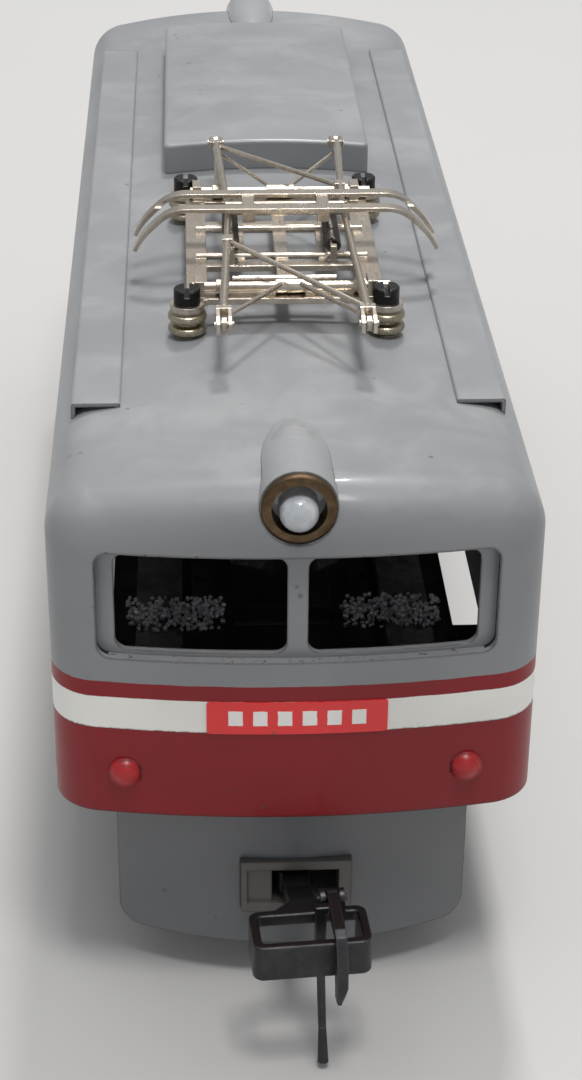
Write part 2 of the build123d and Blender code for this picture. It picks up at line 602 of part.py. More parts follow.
# ---------------------------------------------------------------- couplers
for name, end in ENDS:
    angle = 0 if end < 0 else 180
    swing = COUPLER_SWING if end < 0 else 0.0
    bar_x = HOOK_X
    with BuildPart() as coupler:
        with BuildSketch(Plane.XY.offset(LOOP_BOTTOM)):
            with Locations((0, -(LOOP_FRONT + LOOP_BACK) / 2)):
                RectangleRounded(2 * LOOP_HALF_WIDTH, LOOP_FRONT - LOOP_BACK, 0.8)
                RectangleRounded(2 * (LOOP_HALF_WIDTH - LOOP_BAR),
                                 LOOP_FRONT - LOOP_BACK - 2 * LOOP_BAR, 0.3, mode=Mode.SUBTRACT)
        extrude(amount=LOOP_TOP - LOOP_BOTTOM)
        edges = coupler.edges().filter_by(Plane.XY)
        fillet(edges, 0.15)
        # The back of the loop is open below a thin bar, which the cranked shank runs up to
        block((-LOOP_HALF_WIDTH + LOOP_BAR, -LOOP_BACK - LOOP_BAR - 0.05, LOOP_BOTTOM - 1),
              (LOOP_HALF_WIDTH - LOOP_BAR, -LOOP_BACK + 0.1, LOOP_REAR_BOTTOM), Mode.SUBTRACT)
        with BuildSketch(Plane.YZ.offset(-SHANK_HALF_WIDTH)):
            Polygon((-COUPLER_PIVOT_Y, SHANK_BOTTOM), (-SHANK_BEND_Y, SHANK_BOTTOM),
                    (-LOOP_BACK - 0.3, LOOP_REAR_BOTTOM), (-LOOP_BACK - 0.3, LOOP_TOP - 0.1),
                    (-SHANK_BEND_Y, SHANK_TOP), (-COUPLER_PIVOT_Y, SHANK_TOP), align=None)
        extrude(amount=2 * SHANK_HALF_WIDTH)
        rod("z", (0, -COUPLER_PIVOT_Y, (SHANK_BOTTOM + SHANK_TOP) / 2), 1.5, SHANK_TOP - SHANK_BOTTOM)
        # Shoulders that widen from the shank to the back of the loop
        with BuildSketch(Plane.XY.offset(LOOP_REAR_BOTTOM)):
            Polygon((-SHANK_HALF_WIDTH, -64.0), (SHANK_HALF_WIDTH, -64.0), (2.8, -LOOP_BACK - 0.3),
                    (-2.8, -LOOP_BACK - 0.3), align=None)
        extrude(amount=LOOP_TOP - 0.1 - LOOP_REAR_BOTTOM)
        for x in (-0.72, 0.72):
            # Ears for the hook's pin
            with BuildSketch(Plane.YZ.offset(bar_x + x - 0.2)):
                with Locations((-LOOP_BACK, HOOK_PIVOT_Z)):
                    Circle(0.7)
                with Locations((-LOOP_BACK - 0.1, (LOOP_TOP + HOOK_PIVOT_Z) / 2 - 0.5)):
                    Rectangle(1.2, HOOK_PIVOT_Z - LOOP_TOP + 1.0)
            extrude(amount=0.4)
        rod("x", (bar_x, -LOOP_BACK, HOOK_PIVOT_Z), PIN_RADIUS, 2.2)
        rod("z", (0, -COUPLER_PIVOT_Y, 9.4), 0.6 + RUNNING_GAP, 5, Mode.SUBTRACT)
    coupler.part = turned(turned(coupler.part, swing, -COUPLER_PIVOT_Y), angle)
    save(coupler, f"{name}_coupler")

    with BuildPart() as hook:
        with BuildSketch(Plane.YZ.offset(bar_x - 0.4)):
            with BuildLine():
                Polyline((-64.9, 12.3), (-66.4, 12.45), (-69.6, 12.45), (-70.05, 12.0), (-70.1, 9.4),
                         (-70.45, 7.6))
                ThreePointArc((-70.45, 7.6), (-70.75, 7.35), (-71.0, 7.7))
                ThreePointArc((-71.0, 7.7), (-71.3, 11.2), (-70.3, 13.2))
                Polyline((-70.3, 13.2), (-69.6, 13.45), (-65.2, 13.55), (-64.9, 12.3))
            make_face()
        extrude(amount=0.8)
        # The lower end narrows to one side
        with BuildSketch(Plane.XZ.offset(LOOP_FRONT + 0.3)):
            Polygon((bar_x + 0.45, 9.6), (bar_x + 0.45, 7.0), (bar_x - 0.1, 7.0), align=None)
            Polygon((bar_x - 0.45, 8.1), (bar_x - 0.45, 7.0), (bar_x - 0.1, 7.0), align=None)
        extrude(amount=2, mode=Mode.SUBTRACT)
        rod("x", (bar_x, -LOOP_BACK, HOOK_PIVOT_Z), 0.68, 0.8)
        block((LEVER_X - 0.4, -66.75, 12.55), (bar_x + 0.4, -66.2, 13.2))
        block((LEVER_X - 0.4, -66.75, 8.9), (LEVER_X + 0.4, -66.2, 13.2))
        strut((LEVER_X, -66.45, 9.4), (LEVER_X, -69.0, 0.75), 0.33, 0.3)
        strut((LEVER_X, -68.3, 3.3), (LEVER_X, -69.05, 0.5), 0.3, 0.42)
        rod("x", (bar_x, -LOOP_BACK, HOOK_PIVOT_Z), PIN_RADIUS + PIN_GAP, 3, Mode.SUBTRACT)
    hook.part = turned(turned(hook.part, swing, -COUPLER_PIVOT_Y), angle)
    save(hook, f"{name}_hook")

# ---------------------------------------------------------------- motor
with BuildPart() as motor_poles:
    for side in (-1, 1):
        low = min(side * POLE_INNER, side * POLE_OUTER)
        high = max(side * POLE_INNER, side * POLE_OUTER)
        block((low, -POLE_HALF_LENGTH, POLE_BOTTOM), (high, POLE_HALF_LENGTH, MOTOR_TOP - 0.4))
        near = min(side * 3.4, side * POLE_INNER)
        far = max(side * 3.4, side * POLE_INNER)
        block((near, -ARMATURE_HALF_LENGTH, POLE_BOTTOM + 1), (far, ARMATURE_HALF_LENGTH, 18.6))
    rod("y", (0, 0, SHAFT_Z), ARMATURE_RADIUS + AIR_GAP, BIG, Mode.SUBTRACT)
save(motor_poles, "motor_poles")

with BuildPart() as motor_magnet:
    block((-POLE_INNER, -POLE_HALF_LENGTH, MAGNET_BOTTOM), (POLE_INNER, POLE_HALF_LENGTH, MOTOR_TOP))
    fillet(motor_magnet.edges().filter_by(Axis.Y), 0.3)
save(motor_magnet, "motor_magnet")

with BuildPart() as motor_bridges:
    for name, end in ENDS:
        plane_y = end * BRIDGE_Y
        with BuildSketch(Plane.XZ.offset(-plane_y - BRIDGE_THICKNESS / 2)):
            with Locations((0, SHAFT_Z)):
                Circle(3.2)
            with Locations((0, 18.0)):
                Rectangle(9.0, 9.5)
            with Locations((0, 21.0)):
                Rectangle(2 * BRIDGE_HALF_WIDTH, 4.0)
            with Locations((0, SHAFT_Z)):
                Circle(SHAFT_RADIUS + RUNNING_GAP, mode=Mode.SUBTRACT)
        extrude(amount=BRIDGE_THICKNESS)
        for side in (-1, 1):
            # Arms back to the pole plates
            low = min(side * POLE_OUTER, side * (POLE_OUTER + 1.0))
            high = max(side * POLE_OUTER, side * (POLE_OUTER + 1.0))
            block((low, min(plane_y, end * 3), 19.3), (high, max(plane_y, end * 3), 23))
save(motor_bridges, "motor_bridges")

with BuildPart() as brush_holders:
    for side in (-1, 1):
        middle = side * 3.6
        rod("x", (middle, 7.6, SHAFT_Z), 0.9, 2.4)
        rod("x", (side * 5.2, 7.6, SHAFT_Z), 1.2, 0.8)
        block((min(side * 4.8, side * 5.6), 7.2, SHAFT_Z), (max(side * 4.8, side * 5.6), 9.5, SHAFT_Z + 5.0))
save(brush_holders, "brush_holders")

with BuildPart() as motor_shaft:
    rod("y", (0, 0, SHAFT_Z), SHAFT_RADIUS, 2 * SHAFT_HALF_LENGTH)
    chamfer(motor_shaft.edges().filter_by(GeomType.CIRCLE), 0.2)
save(motor_shaft, "motor_shaft")

with BuildPart() as armature_core:
    with BuildSketch(Plane.XZ.offset(-ARMATURE_HALF_LENGTH)):
        with Locations((0, SHAFT_Z)):
            Circle(ARMATURE_RADIUS)
            with PolarLocations(ARMATURE_RADIUS - 1.6, 5, start_angle=90):
                Rectangle(3.2, 1.3, mode=Mode.SUBTRACT)
            Circle(SHAFT_RADIUS, mode=Mode.SUBTRACT)
    extrude(amount=2 * ARMATURE_HALF_LENGTH)
save(armature_core, "armature_core")

with BuildPart() as armature_windings:
    for end in (-1, 1):
        rod("y", (0, end * (ARMATURE_HALF_LENGTH + 0.7), SHAFT_Z), 3.9, 1.4)
    fillet(armature_windings.edges().filter_by(GeomType.CIRCLE), 0.5)
    rod("y", (0, 0, SHAFT_Z), SHAFT_RADIUS, BIG, Mode.SUBTRACT)
save(armature_windings, "armature_windings")

with BuildPart() as commutator:
    with BuildSketch(Plane.XZ.offset(-8.7)):
        with Locations((0, SHAFT_Z)):
            Circle(2.3)
            with PolarLocations(2.3, 5, start_angle=54):
                Rectangle(0.6, 0.25, mode=Mode.SUBTRACT)
            Circle(SHAFT_RADIUS, mode=Mode.SUBTRACT)
    extrude(amount=2.2)
save(commutator, "commutator")

# ---------------------------------------------------------------- worms and worm wheels
with BuildPart() as worms:
    for name, end in ENDS:
        start = (0, end * AXLE_Y - WORM_LENGTH / 2 + 0.6, SHAFT_Z)
        rod("y", (0, end * AXLE_Y, SHAFT_Z), WORM_ROOT_RADIUS, WORM_LENGTH)
        with BuildLine(mode=Mode.PRIVATE) as path:
            Helix(WORM_PITCH, WORM_LENGTH - 1.2, WORM_ROOT_RADIUS, center=start, direction=(0, 1, 0))
        outward = path.line @ 0 - Vector(0, (path.line @ 0).Y, SHAFT_Z)
        mouth = Plane(origin=path.line @ 0, z_dir=path.line % 0, x_dir=outward)
        with BuildSketch(mouth, mode=Mode.PRIVATE) as thread:
            with Locations(((WORM_TIP_RADIUS - WORM_ROOT_RADIUS) / 2 - 0.18, 0)):
                Rectangle(WORM_TIP_RADIUS - WORM_ROOT_RADIUS + 0.36, THREAD_WIDTH)
        sweep(sections=thread.sketch, path=path.line, is_frenet=True)
    rod("y", (0, 0, SHAFT_Z), SHAFT_RADIUS, BIG, Mode.SUBTRACT)
save(worms, "worms")

# ---------------------------------------------------------------- wheelsets
for name, end in ENDS:
    with BuildPart() as axle:
        rod("x", (0, end * AXLE_Y, AXLE_Z), AXLE_RADIUS, 2 * AXLE_HALF_LENGTH)
        chamfer(axle.edges().filter_by(GeomType.CIRCLE), 0.25)
    save(axle, f"{name}_axle")

    with BuildPart() as wheels:
        for side in (-1, 1):
            with BuildSketch(Plane.XY):
                with BuildLine():
                    back = side * WHEEL_BACK
                    flange_end = side * (WHEEL_BACK + FLANGE_WIDTH)
                    face = side * (WHEEL_BACK + WHEEL_WIDTH)
                    hub = side * (WHEEL_BACK + WHEEL_WIDTH + 0.1)
                    Polyline((back, AXLE_RADIUS), (back, FLANGE_RADIUS - 0.3),
                             (back + side * 0.25, FLANGE_RADIUS),
                             (flange_end - side * 0.2, FLANGE_RADIUS - 0.15),
                             (flange_end, TREAD_RADIUS + 0.08), (face, TREAD_RADIUS - 0.05),
                             (face, TREAD_RADIUS - 0.9), (face - side * 0.7, TREAD_RADIUS - 1.1),
                             (face - side * 0.9, 2.6), (hub, 2.3), (hub, AXLE_RADIUS),
                             (back, AXLE_RADIUS))
                make_face()
            revolve(axis=Axis.X)
        # Lightening holes through both wheel discs
        with BuildSketch(Plane.YZ.offset(-BODY_WIDTH / 2)):
            with PolarLocations(3.8, 10):
                Circle(0.75)
        extrude(amount=BODY_WIDTH, mode=Mode.SUBTRACT)
    wheels.part = Pos(0, end * AXLE_Y, AXLE_Z) * wheels.part
    save(wheels, f"{name}_wheels")

    with BuildPart() as worm_wheel:
        with BuildSketch(Plane.YZ.offset(-1.0)):
            Circle(WHEEL_PITCH_RADIUS - 0.5)
            with PolarLocations(WHEEL_PITCH_RADIUS - 0.1, WHEEL_TEETH, start_angle=FIRST_TOOTH):
                Trapezoid(0.46, 0.85, 80, rotation=-90)
            Circle(AXLE_RADIUS, mode=Mode.SUBTRACT)
        extrude(amount=2.0)
        rod("x", (0, 0, 0), 2.4, 3.6)
        rod("x", (0, 0, 0), AXLE_RADIUS, 5, Mode.SUBTRACT)
    worm_wheel.part = Pos(0, end * AXLE_Y, AXLE_Z) * worm_wheel.part
    save(worm_wheel, f"{name}_worm_wheel")

# Covers over the worms, which carry the ends of the motor shaft
with BuildPart() as gear_covers:
    for name, end in ENDS:
        middle = end * AXLE_Y
        for y in (-5.4, 5.4):
            block((-COVER_HALF_WIDTH, middle + y - 0.6, 10.4),
                  (COVER_HALF_WIDTH, middle + y + 0.6, COVER_TOP))
        block((-COVER_HALF_WIDTH, middle - 6.0, COVER_TOP - 0.7), (COVER_HALF_WIDTH, middle + 6.0, COVER_TOP))
        for side in (-1, 1):
            block((side * (CHEEK_INNER - 0.1), middle - 6.0, FLOOR_TOP),
                  (side * 7.6, middle + 6.0, FLOOR_TOP + 0.6))
            block((side * (CHEEK_INNER - 0.1), middle - 6.0, FLOOR_TOP),
                  (side * (CHEEK_INNER - 0.8), middle + 6.0, COVER_TOP))
            rod("z", (side * 6.4, middle, FLOOR_TOP + 0.9), 1.0, 0.8)
            block((side * 5, middle - 0.15, FLOOR_TOP + 1.0), (side * 8, middle + 0.15, FLOOR_TOP + 2),
                  Mode.SUBTRACT)
    rod("y", (0, 0, SHAFT_Z), SHAFT_RADIUS + RUNNING_GAP, BIG, Mode.SUBTRACT)
save(gear_covers, "gear_covers")

# Cast weights in the cab ends and the leads from the motor to the lamps
with BuildPart() as ballast_weights:
    for end in (-1, 1):
        for side in (-1, 1):
            block((side * 8.4, end * 22, FLOOR_TOP), (side * 12.2, end * 42, FLOOR_TOP + WEIGHT_HEIGHT))
    corners = ballast_weights.edges().filter_by(Axis.Z)
    fillet(corners, 0.6)
save(ballast_weights, "ballast_weights")

with BuildPart() as lead_wires:
    for side, end in ((-1, -1), (1, -1), (-1, 1), (1, 1)):
        corners = [(side * 5.4, end * 12.0, 24.2), (side * 6.4, end * 17.0, 28.6),
                   (side * 5.8, end * 27.0, 27.0), (side * 4.2, end * 38.0, 26.4),
                   (side * 1.7, end * 49.0, 32.0), (side * 1.3, end * 55.6, 40.6)]
        with BuildLine(mode=Mode.PRIVATE) as route:
            FilletPolyline(*corners, radius=WIRE_BENDS)
        tube_end = Plane(origin=route.line @ 0, z_dir=route.line % 0)
        with BuildSketch(tube_end, mode=Mode.PRIVATE) as wire:
            Circle(WIRE_RADIUS)
        sweep(sections=wire.sketch, path=route.line)
save(lead_wires, "lead_wires")

# ---------------------------------------------------------------- pantograph, fixed part
with BuildPart() as insulators:
    with BuildSketch(Plane.XZ):
        with BuildLine():
            Polyline((0.5, 43.4), (1.1, 43.4), (1.1, 44.3), (INSULATOR_RADIUS - 0.3, 44.45))
            ThreePointArc((INSULATOR_RADIUS - 0.3, 44.45), (INSULATOR_RADIUS, 44.8),
                          (INSULATOR_RADIUS - 0.3, 45.15))
            Polyline((INSULATOR_RADIUS - 0.3, 45.15), (0.95, 45.25), (0.95, 45.4),
                     (INSULATOR_RADIUS - 0.3, 45.5))
            ThreePointArc((INSULATOR_RADIUS - 0.3, 45.5), (INSULATOR_RADIUS, 45.85),
                          (INSULATOR_RADIUS - 0.3, 46.2))
            Polyline((INSULATOR_RADIUS - 0.3, 46.2), (1.1, BASE_BOTTOM), (0.5, BASE_BOTTOM), (0.5, 43.4))
        make_face()
    revolve(axis=Axis.Z)
with BuildPart() as pantograph_insulators:
    for x in (-INSULATOR_X, INSULATOR_X):
        for y in (-INSULATOR_Y, INSULATOR_Y):
            add(insulators.part.moved(Location((PANTO_X + x, PANTO_Y + y, 0))))
    add(OUTSIDE, mode=Mode.SUBTRACT)
save(pantograph_insulators, "pantograph_insulators")

with BuildPart() as pantograph_screws:
    for x in (PANTO_X - INSULATOR_X, PANTO_X + INSULATOR_X):
        for y in (-INSULATOR_Y, INSULATOR_Y):
            place = PANTO_Y + y
            rod("z", (x, place, BASE_TOP + 0.65), 1.05, 1.3)
            rod("z", (x, place, BASE_TOP - 1.9), 0.42, 4.6)
            block((x - 0.2, place - 2, BASE_TOP + 0.8), (x + 0.2, place + 2, BASE_TOP + 2), Mode.SUBTRACT)
    slots = pantograph_screws.edges().filter_by(GeomType.CIRCLE).group_by(Axis.Z)[-1]
    chamfer(slots, 0.12)
save(pantograph_screws, "pantograph_screws")

with BuildPart() as pantograph_base_frame:
    with BuildSketch(Plane.XY.offset(BASE_BOTTOM)):
        with Locations((-BASE_RAIL_X, 0), (BASE_RAIL_X, 0)):
            Rectangle(BASE_RAIL_WIDTH, 2 * INSULATOR_Y - 1.0)
        with GridLocations(2 * INSULATOR_X, 2 * INSULATOR_Y, 2, 2):
            Circle(1.35)
        with Locations((0, -MAIN_SHAFT_Y), (0, MAIN_SHAFT_Y)):
            Rectangle(2 * BASE_RAIL_X, 2.2)
        with Locations((0, -4.6), (0, 4.6)):
            Rectangle(2 * BASE_RAIL_X, 0.9)
        Rectangle(1.1, 2 * MAIN_SHAFT_Y)
        with Locations((-3.4, 0), (3.4, 0)):
            Rectangle(0.7, 9.2)
        with GridLocations(2 * INSULATOR_X, 2 * INSULATOR_Y, 2, 2):
            Circle(0.5, mode=Mode.SUBTRACT)
    extrude(amount=BASE_TOP - BASE_BOTTOM)
    for end in (-1, 1):
        for side in (-1, 1):
            block((side * (EAR_X - 0.4), end * MAIN_SHAFT_Y - 0.9, BASE_TOP),
                  (side * (EAR_X + 0.4), end * MAIN_SHAFT_Y + 0.9, MAIN_SHAFT_Z + 0.75))
            # Posts for the ends of the raising springs
            block((side * 4.2 - 0.25, end * 4.6 - 0.3, BASE_TOP - 0.2),
                  (side * 4.2 + 0.25, end * 4.6 + 0.3, MAIN_SHAFT_Z + 1.0))
        rod("x", (0, end * MAIN_SHAFT_Y, MAIN_SHAFT_Z), MAIN_SHAFT_RADIUS + RUNNING_GAP, BIG, Mode.SUBTRACT)
        rod("x", (0, end * 3.0, BASE_TOP + 0.05), 0.3, 2 * BASE_RAIL_X)
    # Bright bar across the middle that stops the shafts
    rod("x", (0, -8.4, BASE_TOP + 0.25), 0.3, 8.4)
pantograph_base_frame.part = Pos(PANTO_X, PANTO_Y, 0) * pantograph_base_frame.part
save(pantograph_base_frame, "pantograph_base_frame")

with BuildPart() as pantograph_springs:
    for side in (-1, 1):
        start = (PANTO_X + side * 4.2, PANTO_Y - SPRING_LENGTH / 2, 48.1)
        with BuildLine(mode=Mode.PRIVATE) as path:
            Helix(0.42, SPRING_LENGTH, SPRING_RADIUS, center=start, direction=(0, 1, 0))
        with BuildSketch(Plane(origin=path.line @ 0, z_dir=path.line % 0)) as wire:
            Circle(0.13)
        sweep(sections=wire.sketch, path=path.line, is_frenet=True)
save(pantograph_springs, "pantograph_springs")

# ---------------------------------------------------------------- pantograph, moving arms
for name, end in ENDS:
    shaft = (0, end * MAIN_SHAFT_Y, MAIN_SHAFT_Z)
    with BuildPart() as lower:
        rod("x", shaft, MAIN_SHAFT_RADIUS, 2 * EAR_X + 2.0)
        rod("x", shaft, 0.6, 2.4)
        for side in (-1, 1):
            knee = (side * KNEE_X, end * KNEE_Y, KNEE_Z)
            rod("x", (side * KNEE_X, shaft[1], shaft[2]), 0.62, 0.9)
            strut((side * KNEE_X, end * (MAIN_SHAFT_Y + 0.2), MAIN_SHAFT_Z + 0.02),
                  (side * KNEE_X, end * (KNEE_Y - 0.3), KNEE_Z - 0.03), 0.28, 0.18)
            strut((side * 0.8, end * (MAIN_SHAFT_Y + 0.3), MAIN_SHAFT_Z + 0.3),
                  (side * (KNEE_X - 0.1), end * (KNEE_Y - 1.9), KNEE_Z - 0.24), 0.2, 0.17)
            rod("x", knee, 0.6, 0.4)
        for side in (-1, 1):
            knee = (side * KNEE_X, end * KNEE_Y, KNEE_Z)
            rod("x", knee, PIN_RADIUS + PIN_GAP, 2, Mode.SUBTRACT)
    lower.part = Pos(LINKAGE_X, PANTO_Y, 0) * lower.part
    save(lower, f"pantograph_{name}_lower")

    with BuildPart() as upper:
        for side in (-1, 1):
            knee = (side * KNEE_X, end * KNEE_Y, KNEE_Z)
            root = (side * KNEE_X, end * (KNEE_Y - FORK_LENGTH), KNEE_Z + 0.42)
            strut(root, (side * TOP_X, end * TOP_Y, TOP_Z), 0.36, 0.24)
            for cheek in (-1, 1):
                x = side * KNEE_X + cheek * 0.45
                with BuildSketch(Plane.YZ.offset(x - 0.15)):
                    with BuildLine():
                        heel = end * (KNEE_Y - FORK_LENGTH)
                        Polyline((heel, KNEE_Z + 0.78), (end * (KNEE_Y - 0.1), KNEE_Z + 0.6),
                                 (end * (KNEE_Y + 0.6), KNEE_Z + 0.3), (end * (KNEE_Y + 0.85), KNEE_Z - 0.5),
                                 (end * (KNEE_Y + 0.1), KNEE_Z - 0.62), (heel, KNEE_Z + 0.15),
                                 (heel, KNEE_Z + 0.78))
                    make_face()
                extrude(amount=0.3)
            block((side * KNEE_X - 0.6, end * (KNEE_Y - FORK_LENGTH), KNEE_Z + 0.15),
                  (side * KNEE_X + 0.6, end * (KNEE_Y - FORK_LENGTH + 0.6), KNEE_Z + 0.76))
            rod("x", knee, PIN_RADIUS, 1.5)
        # One diagonal stay across the frame and the tube along its top
        share = 0.27
        stay_y = TOP_Y + share * (KNEE_Y - TOP_Y)
        strut((end * TOP_X * 1.02, end * stay_y, TOP_Z - share * (TOP_Z - KNEE_Z)),
              (-end * KNEE_X, end * (KNEE_Y - FORK_LENGTH), KNEE_Z + 0.42), 0.22, 0.22)
        block((end * TOP_X * 1.03 - 0.45, end * (stay_y - 0.5), TOP_Z - 0.75),
              (end * TOP_X * 1.03 + 0.45, end * (stay_y + 0.5), TOP_Z - 0.02))
        rod("x", (0, end * TOP_Y, TOP_Z), 0.25, 2 * TOP_X + 0.4)
    upper.part = Pos(LINKAGE_X, PANTO_Y, 0) * upper.part
    save(upper, f"pantograph_{name}_upper")

with BuildPart() as head:
    for end in (-1, 1):
        with BuildSketch(Plane.XZ.offset(-end * SHOE_Y - SHOE_WIDTH / 2)):
            with BuildLine():
                Line((-SHOE_FLAT, SHOE_TOP), (SHOE_FLAT, SHOE_TOP))
                Spline((SHOE_FLAT, SHOE_TOP), (11.1, SHOE_TOP - 1.35), (HORN_X, SHOE_TOP - HORN_DROP),
                       tangents=[(1, 0), (0.42, -1)])
                Line((HORN_X, SHOE_TOP - HORN_DROP), (HORN_X - 0.32, SHOE_TOP - HORN_DROP - 0.1))
                Spline((HORN_X - 0.32, SHOE_TOP - HORN_DROP - 0.1), (10.85, SHOE_TOP - 1.62),
                       (SHOE_FLAT, SHOE_TOP - SHOE_SHEET), tangents=[(-0.42, 1), (-1, 0)])
                Line((SHOE_FLAT, SHOE_TOP - SHOE_SHEET), (0, SHOE_TOP - SHOE_SHEET))
                Line((0, SHOE_TOP - SHOE_SHEET), (-SHOE_FLAT, SHOE_TOP - SHOE_SHEET))
                Spline((-SHOE_FLAT, SHOE_TOP - SHOE_SHEET), (-10.85, SHOE_TOP - 1.62),
                       (-HORN_X + 0.32, SHOE_TOP - HORN_DROP - 0.1), tangents=[(-1, 0), (-0.42, -1)])
                Line((-HORN_X + 0.32, SHOE_TOP - HORN_DROP - 0.1), (-HORN_X, SHOE_TOP - HORN_DROP))
                Spline((-HORN_X, SHOE_TOP - HORN_DROP), (-11.1, SHOE_TOP - 1.35), (-SHOE_FLAT, SHOE_TOP),
                       tangents=[(0.42, 1), (1, 0)])
            make_face()
        extrude(amount=SHOE_WIDTH)
    for side in (-1, 1):
        # Links between the shoes, and bearings that hang from them round the arm tubes
        block((side * 2.6, -SHOE_Y - 0.3, SHOE_TOP - 0.45), (side * 3.6, SHOE_Y + 0.3, SHOE_TOP - 0.12))
        block((side * 2.6, -TOP_Y - 0.75, TOP_Z - 0.6), (side * 3.6, TOP_Y + 0.75, SHOE_TOP - 0.3))
        block((side * 2.6 - side, -0.2, TOP_Z - 2), (side * 3.6 + side, 0.2, TOP_Z - 0.3), Mode.SUBTRACT)
    rod("x", (0, -TOP_Y, TOP_Z), 0.25 + PIN_GAP, BIG, Mode.SUBTRACT)
    rod("x", (0, TOP_Y, TOP_Z), 0.25 + OPEN_PIVOT_GAP, BIG, Mode.SUBTRACT)
head.part = Pos(LINKAGE_X, PANTO_Y, 0) * head.part
save(head, "pantograph_head")
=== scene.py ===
# %% [markdown]
# # A brass-built model locomotive, finished in enamel
# The real object is a small model electric locomotive: a sheet-metal body with sprayed enamel,
# a nickel-silver pantograph on the roof and a black hook coupler under each bowed end.
# Every hard piece already comes from the CAD frame with its true size, so this lesson is mostly
# about finishes: how enamel, plated metal, browned brass and cast weights are made from noise,
# distances and normals. We load the frame first and read the boxes of a few of its pieces. Looks
# may not change size.

# %% Load the frame
import math

import bpy
import numpy as np
from mathutils import Matrix, Vector


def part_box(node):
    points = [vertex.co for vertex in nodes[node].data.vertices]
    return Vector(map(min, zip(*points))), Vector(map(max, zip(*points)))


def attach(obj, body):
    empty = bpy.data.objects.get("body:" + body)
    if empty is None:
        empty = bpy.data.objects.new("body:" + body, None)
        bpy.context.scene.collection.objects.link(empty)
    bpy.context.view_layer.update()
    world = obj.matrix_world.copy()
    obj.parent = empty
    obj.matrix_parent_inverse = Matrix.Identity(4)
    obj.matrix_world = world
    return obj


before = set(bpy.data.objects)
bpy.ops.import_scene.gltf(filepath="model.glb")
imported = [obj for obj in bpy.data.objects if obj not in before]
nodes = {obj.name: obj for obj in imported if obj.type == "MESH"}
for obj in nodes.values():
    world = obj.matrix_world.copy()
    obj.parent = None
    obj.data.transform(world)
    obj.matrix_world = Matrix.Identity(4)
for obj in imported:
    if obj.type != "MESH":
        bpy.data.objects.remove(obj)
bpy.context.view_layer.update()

MM = 0.001

# %% [markdown]
# ## Measures taken from the frame
# A finish that knows where it is must take its places from the pieces themselves: the paint bands
# follow the body shell, the chips follow the windscreen opening. So we read a few boxes once.

# %% Read the places that the finishes need
def extent(name):
    """Lowest and highest corner of one CAD piece, as two numpy rows in metres."""
    low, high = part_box(name)
    return np.array(low), np.array(high)


shell_low, shell_high = extent("body_shell")
plate_low, plate_high = extent("front_number_plate")
frame_low, frame_high = extent("front_window_frame")
BODY_BOTTOM = shell_low[2]
STRIPE_BOTTOM = plate_low[2]
STRIPE_TOP = plate_high[2]
BAND_HEIGHT = 11.5 * MM
BAND_TOP = BODY_BOTTOM + BAND_HEIGHT
HALF_LENGTH = shell_high[1]
HALF_WIDTH = shell_high[0]
print("stripe from", round(STRIPE_BOTTOM, 4), "to", round(STRIPE_TOP, 4), "band top", round(BAND_TOP, 4))

# %% [markdown]
# ## A small vocabulary for node trees
# A shader is a graph, and written out one socket at a time it is hard to read. These helpers let a
# finish be written as arithmetic: each returns an output socket, and each accepts a plain number
# wherever a socket could go. Chaining them keeps each material short enough to follow.

# %% Node helpers
def feed(tree, socket, value):
    """Link value into socket when it is an output, otherwise set it as the socket's constant."""
    if isinstance(value, bpy.types.NodeSocket):
        tree.links.new(value, socket)
    elif value is not None:
        if socket.type == "RGBA" and len(value) == 3:
            value = (*value, 1.0)
        socket.default_value = value


def put(tree, kind, inputs, output=0, **settings):
    """Add one node, set its options and inputs, and return the chosen output socket."""
    made = tree.nodes.new(kind)
    for name, value in settings.items():
        setattr(made, name, value)
    for key, value in inputs.items():
        feed(tree, made.inputs[key], value)
    return made.outputs[output]


def calc(tree, operation, a, b=None, c=None, clamp=False):
    """One arithmetic step on numbers: a (operation) b."""
    inputs = {0: a}
    if b is not None:
        inputs[1] = b
    if c is not None:
        inputs[2] = c
    return put(tree, "ShaderNodeMath", inputs, operation=operation, use_clamp=clamp)


def ramp(tree, value, low, high, to_low=0.0, to_high=1.0):
    """A smooth step: value goes from low to high, the result eases from to_low to to_high."""
    return put(tree, "ShaderNodeMapRange", {0: value, 1: low, 2: high, 3: to_low, 4: to_high},
               interpolation_type="SMOOTHSTEP", clamp=True)


def blend(tree, share, first, second):
    """The colour that is first where share is 0 and second where share is 1."""
    made = tree.nodes.new("ShaderNodeMix")
    made.data_type = "RGBA"
    feed(tree, made.inputs[0], share)
    feed(tree, made.inputs[6], first)
    feed(tree, made.inputs[7], second)
    return made.outputs[2]


def noise(tree, place, scale, detail=3.0, roughness=0.55, distortion=0.0):
    """Soft cloudy noise from 0 to 1; scale counts blobs per metre."""
    return put(tree, "ShaderNodeTexNoise", {"Vector": place, "Scale": scale, "Detail": detail,
               "Roughness": roughness, "Distortion": distortion}, "Fac")


def here(tree):
    """Object coordinates: metres in the same frame as the CAD, fixed to the piece as it moves."""
    return put(tree, "ShaderNodeTexCoord", {}, "Object")


def axes_of(tree, place):
    """Split a position into its X, Y and Z numbers."""
    split = tree.nodes.new("ShaderNodeSeparateXYZ")
    feed(tree, split.inputs[0], place)
    return split.outputs[0], split.outputs[1], split.outputs[2]


def group_of(name, inputs, outputs):
    """A shader node group with named sockets. Inputs are (name, kind, default) rows."""
    tree = bpy.data.node_groups.new(name, "ShaderNodeTree")
    for socket_name, kind, default in inputs:
        made = tree.interface.new_socket(socket_name, in_out="INPUT", socket_type=kind)
        if default is not None:
            made.default_value = default
    for socket_name, kind in outputs:
        tree.interface.new_socket(socket_name, in_out="OUTPUT", socket_type=kind)
    return tree, tree.nodes.new("NodeGroupInput"), tree.nodes.new("NodeGroupOutput")


